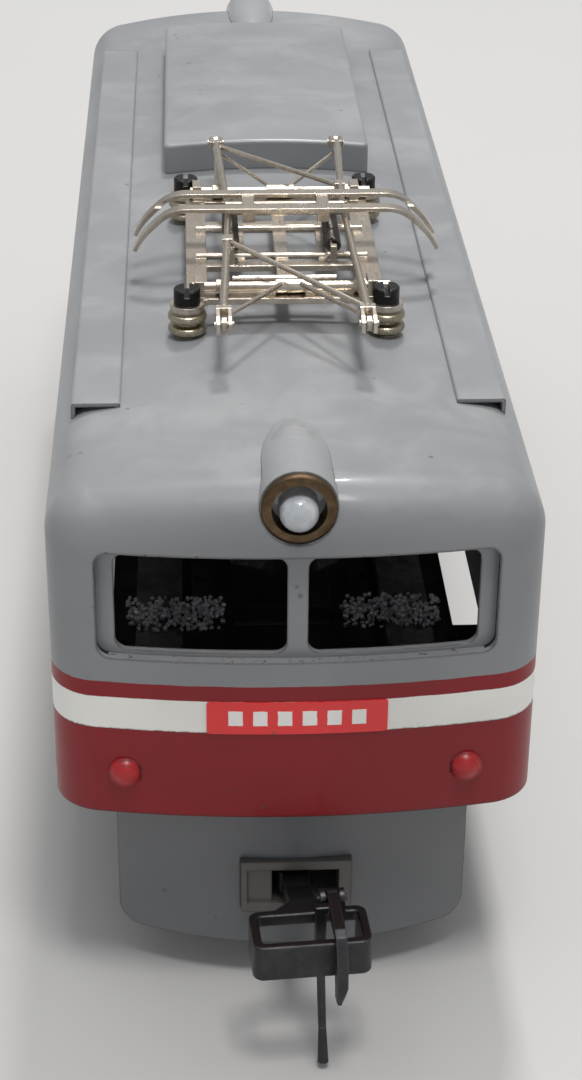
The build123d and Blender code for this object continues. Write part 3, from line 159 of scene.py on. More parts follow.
def use(tree, group, **inputs):
    """Place a node group and return its outputs by name."""
    made = tree.nodes.new("ShaderNodeGroup")
    made.node_tree = group
    for name, value in inputs.items():
        feed(tree, made.inputs[name.replace("_", " ")], value)
    return made.outputs


def new_material(name):
    """An empty material with its Principled shader wired to the output."""
    material = bpy.data.materials.new(name)
    material.use_nodes = True
    tree = material.node_tree
    tree.nodes.clear()
    shader = tree.nodes.new("ShaderNodeBsdfPrincipled")
    out = tree.nodes.new("ShaderNodeOutputMaterial")
    tree.links.new(shader.outputs[0], out.inputs[0])
    return material, tree, shader


def relief(tree, height, strength, depth, normal=None):
    """The normal of a surface raised by height, where a height of 1 is depth metres."""
    inputs = {"Height": height, "Strength": strength, "Distance": depth}
    if normal is not None:
        inputs["Normal"] = normal
    return put(tree, "ShaderNodeBump", inputs)


FLOAT, COLOUR, VECTOR = "NodeSocketFloat", "NodeSocketColor", "NodeSocketVector"
print("node helpers ready")

# %% [markdown]
# ## Effect 1: edges that catch the light
# Nothing made of metal has perfectly sharp edges, and paint is thinnest there. The Bevel node
# looks a short way round each point and returns the normal the surface would have if its edges
# were rounded. Where that normal differs from the true one we are near an edge, so the same node
# gives both a soft highlight and a mask for wear. Noise breaks the mask up so wear is not a line.

# %% Edge group
edge_tree, edge_in, edge_out = group_of(
    "edge wear",
    [("Vector", VECTOR, None), ("Width", FLOAT, 0.0003), ("Patchiness", FLOAT, 600.0),
     ("Amount", FLOAT, 0.5)],
    [("Wear", FLOAT), ("Normal", VECTOR)])
rounded = put(edge_tree, "ShaderNodeBevel", {"Radius": edge_in.outputs["Width"]}, samples=4)
true_normal = put(edge_tree, "ShaderNodeNewGeometry", {}, "Normal")
likeness = put(edge_tree, "ShaderNodeVectorMath", {0: rounded, 1: true_normal}, "Value",
               operation="DOT_PRODUCT")
edge = ramp(edge_tree, likeness, 0.995, 0.82)
patch = noise(edge_tree, edge_in.outputs["Vector"], edge_in.outputs["Patchiness"], 4.0, 0.65)
limit = calc(edge_tree, "SUBTRACT", 1.0, edge_in.outputs["Amount"])
worn = ramp(edge_tree, calc(edge_tree, "MULTIPLY", edge, patch), calc(edge_tree, "MULTIPLY", limit, 0.5),
            calc(edge_tree, "MULTIPLY_ADD", limit, 0.5, 0.08))
feed(edge_tree, edge_out.inputs["Wear"], worn)
feed(edge_tree, edge_out.inputs["Normal"], rounded)
print("group", edge_tree.name, "with", len(edge_tree.nodes), "nodes")

# %% [markdown]
# ## Effect 2: a sprayed enamel skin
# Hand-sprayed enamel is never one flat colour. It has slow clouds where the coat is thicker, a fine
# orange-peel ripple, pin-sized grains of dust caught under it, and a sheen that changes with
# handling. The group takes the coat's colour and returns colour, roughness and a height for Bump.

# %% Enamel group
enamel_tree, enamel_in, enamel_out = group_of(
    "sprayed enamel",
    [("Vector", VECTOR, None), ("Colour", COLOUR, (0.3, 0.3, 0.3, 1.0)), ("Gloss", FLOAT, 0.32),
     ("Dust", FLOAT, 0.3)],
    [("Colour", COLOUR), ("Roughness", FLOAT), ("Height", FLOAT)])
place = enamel_in.outputs["Vector"]
clouds = noise(enamel_tree, place, 55.0, 3.0, 0.5)
peel = noise(enamel_tree, place, 1500.0, 2.0, 0.5)
handling = noise(enamel_tree, place, 140.0, 5.0, 0.62, 0.4)
grains = put(enamel_tree, "ShaderNodeTexVoronoi", {"Vector": place, "Scale": 620.0}, "Distance")
grain_seed = noise(enamel_tree, place, 210.0, 2.0, 0.5)
grain = calc(enamel_tree, "MULTIPLY", ramp(enamel_tree, grains, 0.17, 0.09),
             ramp(enamel_tree, grain_seed, 0.60, 0.66))
deep = blend(enamel_tree, ramp(enamel_tree, clouds, 0.35, 0.7, 0.0, 0.16),
             enamel_in.outputs["Colour"], (0.01, 0.012, 0.012, 1.0))
up = axes_of(enamel_tree, put(enamel_tree, "ShaderNodeNewGeometry", {}, "Normal"))[2]
settled = calc(enamel_tree, "MULTIPLY", ramp(enamel_tree, up, 0.3, 1.0),
               calc(enamel_tree, "MULTIPLY", enamel_in.outputs["Dust"],
                    ramp(enamel_tree, handling, 0.42, 0.72)))
dusty = blend(enamel_tree, calc(enamel_tree, "MULTIPLY", settled, 0.35), deep, (0.62, 0.60, 0.55, 1.0))
specked = blend(enamel_tree, calc(enamel_tree, "MULTIPLY", grain, 0.55), dusty, (0.06, 0.055, 0.05, 1.0))
sheen = calc(enamel_tree, "MULTIPLY_ADD", handling, 0.22, calc(enamel_tree, "SUBTRACT",
             enamel_in.outputs["Gloss"], 0.11))
height = calc(enamel_tree, "MULTIPLY_ADD", grain, 0.8, calc(enamel_tree, "MULTIPLY", peel, 0.5))
feed(enamel_tree, enamel_out.inputs["Colour"], specked)
feed(enamel_tree, enamel_out.inputs["Roughness"], calc(enamel_tree, "MULTIPLY_ADD", settled, 0.25, sheen))
feed(enamel_tree, enamel_out.inputs["Height"], height)
print("group", enamel_tree.name, "with", len(enamel_tree.nodes), "nodes")

# %% [markdown]
# ## Effect 3: bare metal with tarnish
# Bare metal shows three scales at once: broad tarnish clouds, small stains, and tool marks too fine
# to see singly that only change how sharp a reflection is. The marks are noise squeezed along one
# axis. One group serves nickel silver, steel, brass and lead with different colours and scales.

# %% Metal group
metal_tree, metal_in, metal_out = group_of(
    "tarnished metal",
    [("Vector", VECTOR, None), ("Bright", COLOUR, (0.6, 0.6, 0.6, 1.0)),
     ("Tarnish", COLOUR, (0.2, 0.18, 0.15, 1.0)), ("Age", FLOAT, 0.4), ("Roughness", FLOAT, 0.3)],
    [("Colour", COLOUR), ("Roughness", FLOAT), ("Height", FLOAT)])
place = metal_in.outputs["Vector"]
broad = noise(metal_tree, place, 260.0, 4.0, 0.6)
stain = noise(metal_tree, place, 1100.0, 4.0, 0.65, 0.5)
squeezed = put(metal_tree, "ShaderNodeMapping", {"Vector": place, "Scale": (9000.0, 500.0, 9000.0)})
marks = noise(metal_tree, squeezed, 1.0, 2.0, 0.5)
mixed = calc(metal_tree, "MULTIPLY_ADD", stain, 0.5, calc(metal_tree, "MULTIPLY", broad, 0.5))
cover = calc(metal_tree, "MULTIPLY", metal_in.outputs["Age"], ramp(metal_tree, mixed, 0.38, 0.66))
feed(metal_tree, metal_out.inputs["Colour"],
     blend(metal_tree, cover, metal_in.outputs["Bright"], metal_in.outputs["Tarnish"]))
scuffs = calc(metal_tree, "MULTIPLY_ADD", marks, 0.16, -0.08)
feed(metal_tree, metal_out.inputs["Roughness"], calc(metal_tree, "ADD", metal_in.outputs["Roughness"],
     calc(metal_tree, "MULTIPLY_ADD", cover, 0.22, scuffs), clamp=True))
feed(metal_tree, metal_out.inputs["Height"], calc(metal_tree, "MULTIPLY_ADD", stain, 0.5, marks))
print("group", metal_tree.name, "with", len(metal_tree.nodes), "nodes")

# %% [markdown]
# ## The grey, crimson and white body
# On the real body one grey coat goes over everything, then a crimson band is masked off round the
# bottom with an off-white stripe inside it. Masking tape never leaves a perfect line, so each band
# edge here is a height compared with a slightly wavering limit. The inside of the shell is coloured
# near black: a point is inside when its normal faces the shell's middle and it lies
# within the walls. Around the windscreen the coat has flaked in small chips, so the distance to
# the opening's rounded outline decides where chips may appear, and noise decides which do.

# %% Shell paint
GREY = (0.245, 0.252, 0.262)
CRIMSON = (0.235, 0.010, 0.015)
WHITE = (0.84, 0.83, 0.78)
DARK = (0.012, 0.012, 0.013)
METAL_UNDER = (0.055, 0.045, 0.035)
KNOCK = (-16.9 * MM, -56.6 * MM, 36.6 * MM)
SCREEN_HALF_WIDTH = 14.4 * MM
SCREEN_CORNER = 1.0 * MM
SCREEN_REBATE = 0.6 * MM
END_BOW_RADIUS = 82.0 * MM
ROOF_ARCH_RADIUS = 90.0 * MM
INSIDE_DEPTH = 0.5 * MM
TAPE_WAVER = 0.16 * MM
TAPE_BLUR = 0.03 * MM
CHIP_REACH = 0.45 * MM
LINE_CHIP_REACH = 0.28 * MM
SHELL_MIDDLE = (0.0, 0.0, 0.028)


def outline_distance(tree, x, z, half_x, low, high, corner):
    """Distance in metres from an upright rounded rectangle's outline, by the usual rule:
    fold the point into one quarter, measure to the corner's circle, and take off its radius."""
    middle, half_z = (low + high) / 2, (high - low) / 2
    px = calc(tree, "SUBTRACT", calc(tree, "ABSOLUTE", x), half_x - corner)
    pz = calc(tree, "SUBTRACT", calc(tree, "ABSOLUTE", calc(tree, "SUBTRACT", z, middle)), half_z - corner)
    outside = put(tree, "ShaderNodeCombineXYZ", {0: calc(tree, "MAXIMUM", px, 0.0),
                  1: calc(tree, "MAXIMUM", pz, 0.0)})
    length = put(tree, "ShaderNodeVectorMath", {0: outside}, "Value", operation="LENGTH")
    inside = calc(tree, "MINIMUM", calc(tree, "MAXIMUM", px, pz), 0.0)
    return calc(tree, "ABSOLUTE", calc(tree, "SUBTRACT", calc(tree, "ADD", length, inside), corner))


def inside_shell(tree, place):
    """1 on the shell's inner faces: within the walls, and facing the middle of the body.
    The ends and the roof are arcs, so a face there lies x * x / (2 * radius) nearer the middle."""
    x, y, z = axes_of(tree, place)
    squared = calc(tree, "MULTIPLY", x, x)
    bowed = calc(tree, "MULTIPLY_ADD", squared, 1 / (2 * END_BOW_RADIUS), calc(tree, "ABSOLUTE", y))
    arched = calc(tree, "MULTIPLY_ADD", squared, 1 / (2 * ROOF_ARCH_RADIUS), z)
    beside = calc(tree, "LESS_THAN", calc(tree, "ABSOLUTE", x), HALF_WIDTH - INSIDE_DEPTH)
    between = calc(tree, "LESS_THAN", bowed, HALF_LENGTH - INSIDE_DEPTH)
    under = calc(tree, "LESS_THAN", arched, shell_high[2] - INSIDE_DEPTH)
    walls = calc(tree, "MULTIPLY", beside, calc(tree, "MULTIPLY", between, under))
    toward = put(tree, "ShaderNodeVectorMath", {0: place, 1: SHELL_MIDDLE}, operation="SUBTRACT")
    outward = put(tree, "ShaderNodeTexCoord", {}, "Normal")
    facing = put(tree, "ShaderNodeVectorMath", {0: toward, 1: outward}, "Value", operation="DOT_PRODUCT")
    return calc(tree, "MULTIPLY", walls, calc(tree, "LESS_THAN", facing, 0.0))


def shell_paint():
    """Grey over all, a crimson band with a white stripe, dark inside, chips at the window."""
    material, tree, shader = new_material("shell enamel")
    place = here(tree)
    x, y, z = axes_of(tree, place)
    waver = calc(tree, "MULTIPLY_ADD", noise(tree, place, 420.0, 4.0, 0.7), TAPE_WAVER, z)
    level = calc(tree, "SUBTRACT", waver, TAPE_WAVER / 2)
    band = ramp(tree, level, BAND_TOP + TAPE_BLUR, BAND_TOP - TAPE_BLUR)
    over_bottom = ramp(tree, level, STRIPE_BOTTOM - TAPE_BLUR, STRIPE_BOTTOM + TAPE_BLUR)
    under_top = ramp(tree, level, STRIPE_TOP + TAPE_BLUR, STRIPE_TOP - TAPE_BLUR)
    white = calc(tree, "MULTIPLY", over_bottom, under_top)
    coat = blend(tree, white, blend(tree, band, GREY, CRIMSON), WHITE)
    skin = use(tree, enamel_tree, Vector=place, Colour=coat, Gloss=0.40, Dust=0.35)
    edges = use(tree, edge_tree, Vector=place, Width=0.35 * MM, Patchiness=900.0, Amount=0.42)
    # Chips: close to the windscreen's outline or to a stripe edge, on the two ends only
    at_end = ramp(tree, calc(tree, "ABSOLUTE", y), HALF_LENGTH - 5 * MM, HALF_LENGTH - 4 * MM)
    from_window = outline_distance(tree, x, z, SCREEN_HALF_WIDTH, frame_low[2] + SCREEN_REBATE,
                                   frame_high[2] - SCREEN_REBATE, SCREEN_CORNER)
    near_window = ramp(tree, from_window, CHIP_REACH, 0.0)
    from_lines = [calc(tree, "ABSOLUTE", calc(tree, "SUBTRACT", level, line))
                  for line in (STRIPE_BOTTOM, BAND_TOP)]
    near_line = calc(tree, "MAXIMUM", *[ramp(tree, far, LINE_CHIP_REACH, 0.0) for far in from_lines])
    flecks = noise(tree, place, 2600.0, 4.0, 0.65)
    chance = calc(tree, "MULTIPLY", at_end, calc(tree, "MAXIMUM", near_window,
                  calc(tree, "MULTIPLY", near_line, 0.55)))
    chips = ramp(tree, calc(tree, "MULTIPLY_ADD", chance, 0.15, flecks), 0.765, 0.785)
    # One larger knock on a front corner, where the coat has come off in an oval
    knock_place = put(tree, "ShaderNodeVectorMath", {0: place, 1: KNOCK}, operation="SUBTRACT")
    knock_size = put(tree, "ShaderNodeVectorMath", {0: knock_place, 1: (1.0, 1.0, 0.62)},
                     operation="MULTIPLY")
    knock_far = put(tree, "ShaderNodeVectorMath", {0: knock_size}, "Value", operation="LENGTH")
    knock = ramp(tree, calc(tree, "MULTIPLY_ADD", flecks, 0.15 * MM, knock_far), 0.50 * MM, 0.42 * MM)
    rubbed = calc(tree, "MULTIPLY", edges["Wear"], 0.8)
    bare = calc(tree, "MAXIMUM", calc(tree, "MAXIMUM", chips, knock), rubbed)
    # Painted shadow line: a thin dark line along the stripe's lower edge stands in for the shadow under the
    # paint's edge
    shadow_line_far = calc(tree, "ABSOLUTE", calc(tree, "SUBTRACT", level, STRIPE_BOTTOM))
    painted_shadow_line = calc(tree, "MULTIPLY", ramp(tree, shadow_line_far, 0.14 * MM, 0.02 * MM), ramp(tree, flecks, 0.35, 0.6))
    shadow_lined = blend(tree, calc(tree, "MULTIPLY", painted_shadow_line, 0.55), skin["Colour"], METAL_UNDER)
    worn = blend(tree, bare, shadow_lined, METAL_UNDER)
    hollow = inside_shell(tree, place)
    feed(tree, shader.inputs["Base Color"], blend(tree, hollow, worn, DARK))
    feed(tree, shader.inputs["Roughness"], calc(tree, "MAXIMUM", skin["Roughness"],
         calc(tree, "MULTIPLY", hollow, 0.75)))
    deep = calc(tree, "MULTIPLY_ADD", bare, -1.6, skin["Height"])
    feed(tree, shader.inputs["Normal"], relief(tree, deep, 0.22, 0.06 * MM, edges["Normal"]))
    shader.inputs["Specular IOR Level"].default_value = 0.26
    shader.inputs["Coat Weight"].default_value = 0.15
    shader.inputs["Coat Roughness"].default_value = 0.1
    return material


shell_enamel = shell_paint()
print("made", shell_enamel.name)

# %% [markdown]
# ## Plain painted pieces
# The ducts, hatch, aprons and window frames carry one colour each, with wear on their edges. A
# function makes each material from a colour, a gloss and an amount of wear.

# %% Painted pieces
def painted(name, colour, gloss=0.34, dust=0.3, wear=0.4, width=0.25, under=METAL_UNDER, coat=0.2):
    """One enamel colour with edge wear that shows the metal under it."""
    material, tree, shader = new_material(name)
    place = here(tree)
    skin = use(tree, enamel_tree, Vector=place, Colour=colour, Gloss=gloss, Dust=dust)
    edges = use(tree, edge_tree, Vector=place, Width=width * MM, Patchiness=1000.0, Amount=wear)
    feed(tree, shader.inputs["Base Color"], blend(tree, edges["Wear"], skin["Colour"], under))
    feed(tree, shader.inputs["Roughness"], skin["Roughness"])
    deep = calc(tree, "MULTIPLY_ADD", edges["Wear"], -1.2, skin["Height"])
    feed(tree, shader.inputs["Normal"], relief(tree, deep, 0.22, 0.06 * MM, edges["Normal"]))
    shader.inputs["Coat Weight"].default_value = coat
    shader.inputs["Coat Roughness"].default_value = 0.2
    return material


def bare_metal(name, bright, tarnish, age=0.4, roughness=0.28, width=0.12, polish=(0.85, 0.82, 0.76)):
    """Bare metal whose edges are rubbed brighter than its faces."""
    material, tree, shader = new_material(name)
    place = here(tree)
    skin = use(tree, metal_tree, Vector=place, Bright=bright, Tarnish=tarnish, Age=age,
               Roughness=roughness)
    edges = use(tree, edge_tree, Vector=place, Width=width * MM, Patchiness=1400.0, Amount=0.6)
    rubbed = calc(tree, "MULTIPLY", edges["Wear"], 0.5)
    feed(tree, shader.inputs["Base Color"], blend(tree, rubbed, skin["Colour"], polish))
    feed(tree, shader.inputs["Roughness"], skin["Roughness"])
    feed(tree, shader.inputs["Normal"], relief(tree, skin["Height"], 0.15, 0.04 * MM, edges["Normal"]))
    shader.inputs["Metallic"].default_value = 1.0
    return material


finishes = {
    "roof_grey": painted("roof grey enamel", GREY),
    # The aprons' grey is darker than the body grey as painted shade, for the shadow that falls under the
    # body
    "apron_grey_painted_shade": painted("apron grey enamel with painted shade", (0.155, 0.160, 0.165), 0.45, 0.1, 0.3),
    "cowl_silver": painted("cowl silver enamel", (0.30, 0.31, 0.315), 0.26, 0.2, 0.5, coat=0.4),
    "pocket_grey": painted("pocket grey enamel", (0.118, 0.112, 0.100), 0.4, 0.1, 0.45),
    "lamp_red": painted("tail lamp red", (0.40, 0.010, 0.014), 0.36, 0.05, 0.05, coat=0.1),
    "underframe_black": painted("underframe black", (0.016, 0.016, 0.017), 0.5, 0.35, 0.35),
    "nickel_silver": bare_metal("nickel silver", (0.62, 0.555, 0.47), (0.24, 0.19, 0.14), 0.55, 0.27),
    "insulator_metal": bare_metal("turned insulator nickel", (0.50, 0.45, 0.34), (0.16, 0.13, 0.08),
                                  0.6, 0.22),
    "black_screw": bare_metal("blackened screw", (0.035, 0.034, 0.034), (0.012, 0.012, 0.012), 0.5, 0.36,
                              0.15, (0.30, 0.29, 0.28)),
    "spring_steel": bare_metal("spring steel", (0.17, 0.155, 0.14), (0.05, 0.045, 0.04), 0.5, 0.25),
    "browned_brass": bare_metal("browned brass", (0.155, 0.105, 0.060), (0.055, 0.035, 0.02), 0.7, 0.40,
                                0.15, (0.36, 0.27, 0.16)),
    "clean_brass": bare_metal("machined brass", (0.72, 0.50, 0.22), (0.30, 0.17, 0.06), 0.45, 0.25),
    "steel": bare_metal("bright steel", (0.56, 0.56, 0.55), (0.20, 0.19, 0.18), 0.3, 0.24),
    "tyre_nickel": bare_metal("wheel nickel", (0.52, 0.50, 0.46), (0.13, 0.12, 0.11), 0.5, 0.3),
    "magnet_grey": bare_metal("cast magnet", (0.10, 0.10, 0.105), (0.03, 0.03, 0.03), 0.5, 0.55),
    "lead_grey": bare_metal("cast lead", (0.34, 0.34, 0.35), (0.12, 0.12, 0.125), 0.7, 0.5),
    "copper": bare_metal("enamelled copper", (0.52, 0.20, 0.08), (0.22, 0.07, 0.03), 0.5, 0.3),
    "coupler_black": bare_metal("blackened coupler metal", (0.070, 0.069, 0.073), (0.026, 0.026, 0.027),
                                0.4, 0.38, 0.2, (0.26, 0.26, 0.27)),
}
print("finishes:", ", ".join(sorted(finishes)))

# %% [markdown]
# ## The number plate without a number
# A red enamelled plate sits in the stripe. Real ones carry a running number; a shared part should
# not, so six plain white blocks stand in its place. They are a repeated pattern: X is folded into
# cells with Modulo, and a block is where the point lies inside a rounded rectangle in its cell.

# %% Plate enamel
BLOCK_PITCH = 1.8 * MM
BLOCK_HALF_WIDTH = 0.52 * MM
BLOCK_HALF_HEIGHT = 0.62 * MM


def plate_enamel():
    """Bright red enamel with a row of plain white blocks and no lettering."""
    material, tree, shader = new_material("number plate enamel")
    place = here(tree)
    x, _, z = axes_of(tree, place)
    row_middle = (STRIPE_BOTTOM + STRIPE_TOP) / 2
    cell = calc(tree, "SUBTRACT", calc(tree, "FLOORED_MODULO", x, BLOCK_PITCH), BLOCK_PITCH / 2)
    across = calc(tree, "SUBTRACT", calc(tree, "ABSOLUTE", cell), BLOCK_HALF_WIDTH)
    level = calc(tree, "ABSOLUTE", calc(tree, "SUBTRACT", z, row_middle))
    upward = calc(tree, "SUBTRACT", level, BLOCK_HALF_HEIGHT)
    off_block = calc(tree, "MAXIMUM", across, upward)
    off_row = calc(tree, "SUBTRACT", calc(tree, "ABSOLUTE", x), 3 * BLOCK_PITCH)
    ragged = calc(tree, "MULTIPLY_ADD", noise(tree, place, 2600.0, 3.0), 0.1 * MM, -0.05 * MM)
    outside = calc(tree, "ADD", calc(tree, "MAXIMUM", off_block, off_row), ragged)
    block = ramp(tree, outside, 0.03 * MM, -0.03 * MM)
    coat = blend(tree, block, (0.78, 0.020, 0.022), (0.86, 0.84, 0.80))
    skin = use(tree, enamel_tree, Vector=place, Colour=coat, Gloss=0.3, Dust=0.1)
    feed(tree, shader.inputs["Base Color"], skin["Colour"])
    feed(tree, shader.inputs["Roughness"], skin["Roughness"])
    height = calc(tree, "ADD", block, skin["Height"])
    feed(tree, shader.inputs["Normal"], relief(tree, height, 0.3, 0.06 * MM))
    shader.inputs["Coat Weight"].default_value = 0.3
    return material


finishes["plate"] = plate_enamel()
print("made", finishes["plate"].name)

# %% [markdown]
# ## The lamp bead
# The headlamp's lens is a small moulded bead, milky at its heart and clear at its skin. Glass alone
# would show only the dark hole behind it, so the shader mixes some transmission with a pale bluish
# body colour that is partly the bead's milkiness and partly painted reflection; a fine cloud varies it.

# %% Lamp bead
def lamp_bead():
    """Milky moulded lamp bead whose pale colour is partly painted reflection."""
    material, tree, shader = new_material("milky lamp bead with painted reflection")
    place = here(tree)
    milk = noise(tree, place, 900.0, 3.0, 0.5)
    milk_and_reflection = ramp(tree, milk, 0.3, 0.7)
    # Pale bluish colour: partly the bead's milkiness, partly painted reflection
    feed(tree, shader.inputs["Base Color"], blend(tree, milk_and_reflection, (0.62, 0.66, 0.70), (0.86, 0.88, 0.90)))
    feed(tree, shader.inputs["Roughness"], ramp(tree, milk, 0.3, 0.7, 0.06, 0.14))
    feed(tree, shader.inputs["Normal"], relief(tree, milk, 0.08, 0.05 * MM))
    shader.inputs["Transmission Weight"].default_value = 0.35
    shader.inputs["Coat Weight"].default_value = 1.0
    shader.inputs["Coat Roughness"].default_value = 0.03
    return material


finishes["lamp_bead"] = lamp_bead()
print("made", finishes["lamp_bead"].name)

# %% [markdown]
# ## Black lead insulation
# The leads are thin stranded wire in soft black sleeving: nearly matt, with a faint long ripple.

# %% Wire sleeve
def wire_sleeve():
    """Soft black sleeving."""
    material, tree, shader = new_material("black wire sleeve")
    place = here(tree)
    ripple = noise(tree, place, 1300.0, 3.0, 0.6)
    sleeve = blend(tree, ripple, (0.014, 0.014, 0.015), (0.032, 0.032, 0.034))
    feed(tree, shader.inputs["Base Color"], sleeve)
    feed(tree, shader.inputs["Roughness"], ramp(tree, ripple, 0.3, 0.7, 0.45, 0.62))
    feed(tree, shader.inputs["Normal"], relief(tree, ripple, 0.2, 0.06 * MM))
    return material


finishes["sleeve"] = wire_sleeve()
print("made", finishes["sleeve"].name)

# %% [markdown]
# ## Dressing the CAD pieces
# Each CAD piece keeps its shape and gets its finish in its own material slot. The table reads like a
# painter's list. Smooth shading comes with the frame, so only the material changes here.

# %% Assign finishes
wearing = {
    "roof_grey": ["roof_duct_left", "roof_duct_right", "roof_hatch", "front_window_frame",
                  "rear_window_frame", "side_louvres"],
    "apron_grey_painted_shade": ["front_apron", "rear_apron"],
    "pocket_grey": ["front_coupler_pocket", "rear_coupler_pocket"],
    "cowl_silver": ["front_headlight_cowl", "rear_headlight_cowl"],
    "browned_brass": ["front_headlight_bezel", "rear_headlight_bezel"],
    "lamp_bead": ["front_headlight_lens", "rear_headlight_lens"],
    "lamp_red": ["front_tail_lamps", "rear_tail_lamps"],
    "plate": ["front_number_plate", "rear_number_plate"],
    "underframe_black": ["chassis_frame", "left_side_frame", "right_side_frame", "gear_covers"],
    "clean_brass": ["keeper_plates", "axle_bushes", "motor_bridges", "brush_holders", "worms",
                    "front_worm_wheel", "rear_worm_wheel"],
    "steel": ["keeper_screws", "body_screws", "motor_poles", "motor_shaft", "armature_core", "front_axle",
              "rear_axle"],
    "magnet_grey": ["motor_magnet"],
    "lead_grey": ["ballast_weights"],
    "sleeve": ["lead_wires"],
    "copper": ["armature_windings", "commutator"],
    "tyre_nickel": ["front_wheels", "rear_wheels"],
    "nickel_silver": ["pantograph_base_frame", "pantograph_head", "pantograph_front_lower",
                      "pantograph_rear_lower", "pantograph_front_upper", "pantograph_rear_upper"],
    "insulator_metal": ["pantograph_insulators"],
    "black_screw": ["pantograph_screws"],
    "spring_steel": ["pantograph_springs"],
    "coupler_black": ["front_coupler", "rear_coupler", "front_hook", "rear_hook"],
}


def dress(name, material):
    """Give every material slot of one CAD piece the same finish."""
    piece = nodes[name]
    if not piece.material_slots:
        piece.data.materials.append(material)
    for slot in piece.material_slots:
        slot.material = material


dress("body_shell", shell_enamel)
for finish, names in wearing.items():
    for name in names:
        dress(name, finishes[finish])
undressed = sorted(set(nodes) - {"body_shell"} - {n for names in wearing.values() for n in names})
print("dressed", len(nodes) - len(undressed), "pieces; without a finish:", undressed)

# %% [markdown]
# ## Lead shot in the cab
# Extra weight in a light sheet-metal body is often a handful of lead shot, glued in loose above the
# cast weights. Each pellet is a coarse lumpy ball of 28 faces; the same grid of points is
# copied to many seeded places with numpy, in layers, and joined into a single mesh per end.

# %% Shot pellets
LAYERS = 3
LAYER_RISE = 0.32 * MM
LAYER_SHIFT = 0.25 * MM
LOWEST_CENTRE = 0.2 * MM


def pellet_heap(name, centres, radii, seed):
    """One mesh of many balls: point = centre + radius * (sin a cos b, sin a sin b, cos a), each ball
    squashed a little along its own axes. The belt of rings is closed by a point at each pole."""
    rings, turns = 3, 7
    a = np.linspace(0.0, math.pi, rings + 2)[1:-1]
    b = np.arange(turns) * 2 * math.pi / turns
    belt = np.stack([np.outer(np.sin(a), np.cos(b)), np.outer(np.sin(a), np.sin(b)),
                     np.repeat(np.cos(a)[:, None], turns, 1)], -1).reshape(-1, 3)
    ball = np.vstack([belt, (0, 0, 1), (0, 0, -1)])
    squash = np.random.default_rng(seed).uniform(0.8, 1.1, (len(centres), 1, 3))
    points = (centres[:, None, :] + radii[:, None, None] * squash * ball[None]).reshape(-1, 3)
    i, j = np.meshgrid(np.arange(rings - 1), np.arange(turns), indexing="ij")
    k = (j + 1) % turns
    corners = [i * turns + j, (i + 1) * turns + j, (i + 1) * turns + k, i * turns + k]
    quads = np.stack(corners, -1).reshape(-1, 4)
    t, u = np.arange(turns), (np.arange(turns) + 1) % turns
    top = np.stack([np.full(turns, rings * turns), t, u], -1)
    last = (rings - 1) * turns
    bottom = np.stack([np.full(turns, rings * turns + 1), last + u, last + t], -1)
    step = (np.arange(len(centres)) * len(ball))[:, None, None]
    faces = (quads[None] + step).reshape(-1, 4).tolist()
    faces += (np.vstack([top, bottom])[None] + step).reshape(-1, 3).tolist()
    mesh = bpy.data.meshes.new(name)
    mesh.from_pydata(points.tolist(), [], faces)
    mesh.polygons.foreach_set("use_smooth", np.ones(len(mesh.polygons), bool))
    mesh.update()
    heap = bpy.data.objects.new(name, mesh)
    bpy.context.scene.collection.objects.link(heap)
    return heap


def heap_places(end, seed, count=640):
    """Seeded places in two shallow heaps on the cast weights and in the gap beside them, in three
    layers: each layer lies LAYER_RISE higher and LAYER_SHIFT nearer the middle of the model."""
    rng = np.random.default_rng(seed)
    weight_top = extent("ballast_weights")[1][2]
    across = rng.uniform(4.9, 12.9, count) * MM
    across *= rng.choice([-1.0, 1.0], count)
    along = end * rng.uniform(35.8, 39.6, count) * MM
    layer = rng.integers(0, LAYERS, count)
    rise = weight_top + LOWEST_CENTRE + layer * LAYER_RISE
    radii = rng.uniform(0.15, 0.27, count) * MM
    return np.stack([across, along - end * layer * LAYER_SHIFT, rise], -1), radii


shot_metal = bare_metal("lead shot", (0.97, 0.97, 0.98), (0.62, 0.62, 0.64), 0.3, 0.4)
for title, end, seed in (("front", -1, 7), ("rear", 1, 8)):
    centres, radii = heap_places(end, seed)
    heap = pellet_heap(title + "_lead_shot", centres, radii, seed)
    heap.data.materials.append(shot_metal)
    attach(heap, "chassis")
    print(heap.name, len(heap.data.polygons), "faces")

# %% [markdown]
# ## Floor, light and camera
# The stage is plain: a pale floor, a small key high up behind the model, a second lamp high up in
# front, a wide ceiling panel and a weak front fill. The key draws the pantograph's thin shadows on
# the roof, the front lamp fills the body's own shadow on the floor before the cab, and the panel and
# the fill keep the underside readable. The camera stands low in front, looking down at the roof.

# %% Floor
def pale_floor():
    """Off-white matt floor with a faint long-wave unevenness."""
    material, tree, shader = new_material("pale floor")
    place = here(tree)
    tone = noise(tree, place, 9.0, 3.0, 0.5)
    feed(tree, shader.inputs["Base Color"], blend(tree, tone, (0.49, 0.482, 0.468), (0.53, 0.525, 0.515)))
    feed(tree, shader.inputs["Roughness"], ramp(tree, tone, 0.3, 0.7, 0.82, 0.9))
    return material


FLOOR_HALF = 1.6
corners = FLOOR_HALF * np.array([(-1, -1, 0), (1, -1, 0), (1, 1, 0), (-1, 1, 0)])
floor_mesh = bpy.data.meshes.new("floor")
floor_mesh.from_pydata(corners.tolist(), [], [(0, 1, 2, 3)])
floor_mesh.materials.append(pale_floor())
floor = bpy.data.objects.new("floor", floor_mesh)
bpy.context.scene.collection.objects.link(floor)
print("floor", floor.dimensions[:])

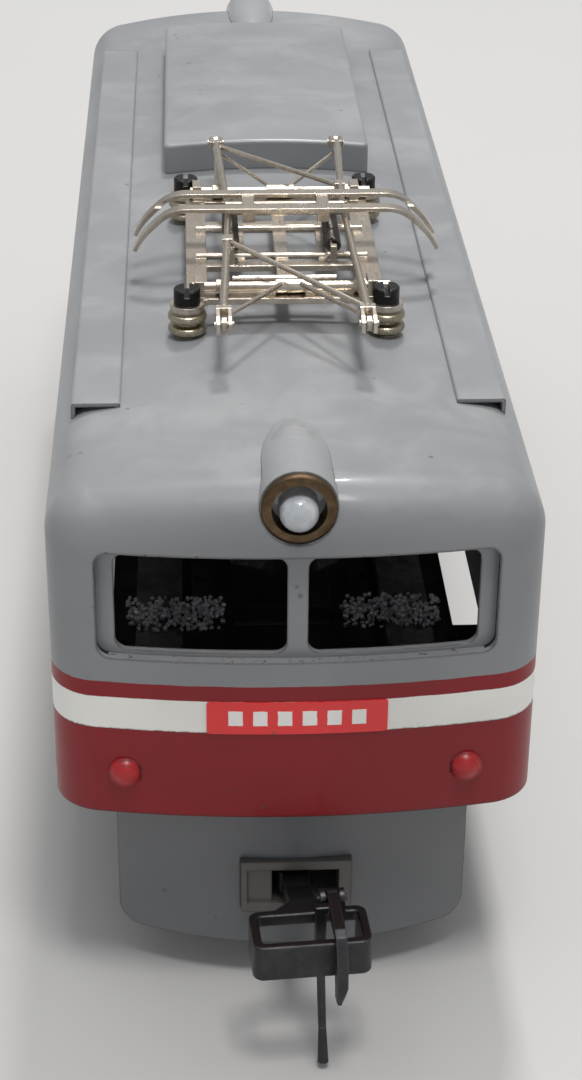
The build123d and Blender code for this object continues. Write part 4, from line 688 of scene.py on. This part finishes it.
# %% Lights
def soft_light(name, place, aim, size, watts, colour=(1.0, 1.0, 1.0)):
    """A square area light at place, facing aim."""
    data = bpy.data.lights.new(name, "AREA")
    data.shape = "SQUARE"
    data.size = size
    data.energy = watts
    data.color = colour
    light = bpy.data.objects.new(name, data)
    bpy.context.scene.collection.objects.link(light)
    light.location = place
    light.rotation_euler = (Vector(aim) - Vector(place)).to_track_quat("-Z", "Y").to_euler()
    return light


middle = (0.0, 0.0, 0.03)
soft_light("key", (0.067, 0.364, 0.72), middle, size=0.09, watts=2.9, colour=(1.0, 0.99, 0.965))
soft_light("front lamp", (0.05, -0.24, 0.70), middle, size=0.16, watts=2.1, colour=(1.0, 0.99, 0.97))
soft_light("ceiling", (0.0, 0.10, 0.95), middle, size=0.9, watts=3.3)
soft_light("fill front", (0.15, -0.90, 0.35), middle, size=0.5, watts=0.25, colour=(0.97, 0.985, 1.0))
world = bpy.data.worlds.new("studio")
world.use_nodes = True
world.node_tree.nodes["Background"].inputs[0].default_value = (0.93, 0.95, 1.0, 1.0)
world.node_tree.nodes["Background"].inputs[1].default_value = 0.42
bpy.context.scene.world = world

# %% Camera
def camera_from_angles(place, pitch_down, yaw, roll, lens):
    """A camera whose forward direction is (sin yaw cos pitch, cos yaw cos pitch, -sin pitch), turned
    about that direction by roll, all in degrees. The matrix columns are right, up and backward."""
    p, w, r = (math.radians(a) for a in (pitch_down, yaw, roll))
    forward = Vector((math.sin(w) * math.cos(p), math.cos(w) * math.cos(p), -math.sin(p)))
    level = forward.cross(Vector((0, 0, 1))).normalized()
    top = level.cross(forward)
    right = level * math.cos(r) + top * math.sin(r)
    up = top * math.cos(r) - level * math.sin(r)
    matrix = Matrix((right, up, -forward)).transposed().to_4x4()
    matrix.translation = place
    data = bpy.data.cameras.new("camera")
    data.sensor_fit = "VERTICAL"
    data.sensor_height = 36.0
    data.lens = lens
    data.clip_start = 0.01
    data.clip_end = 20.0
    camera = bpy.data.objects.new("camera", data)
    bpy.context.scene.collection.objects.link(camera)
    camera.matrix_world = matrix
    return camera


bpy.context.scene.camera = camera_from_angles(
    (-0.00731, -0.19802, 0.1173), pitch_down=29.072, yaw=2.812, roll=0.525, lens=75.2)
bpy.context.scene.view_settings.view_transform = "Standard"
print("camera at", tuple(round(v, 4) for v in bpy.context.scene.camera.matrix_world.translation))
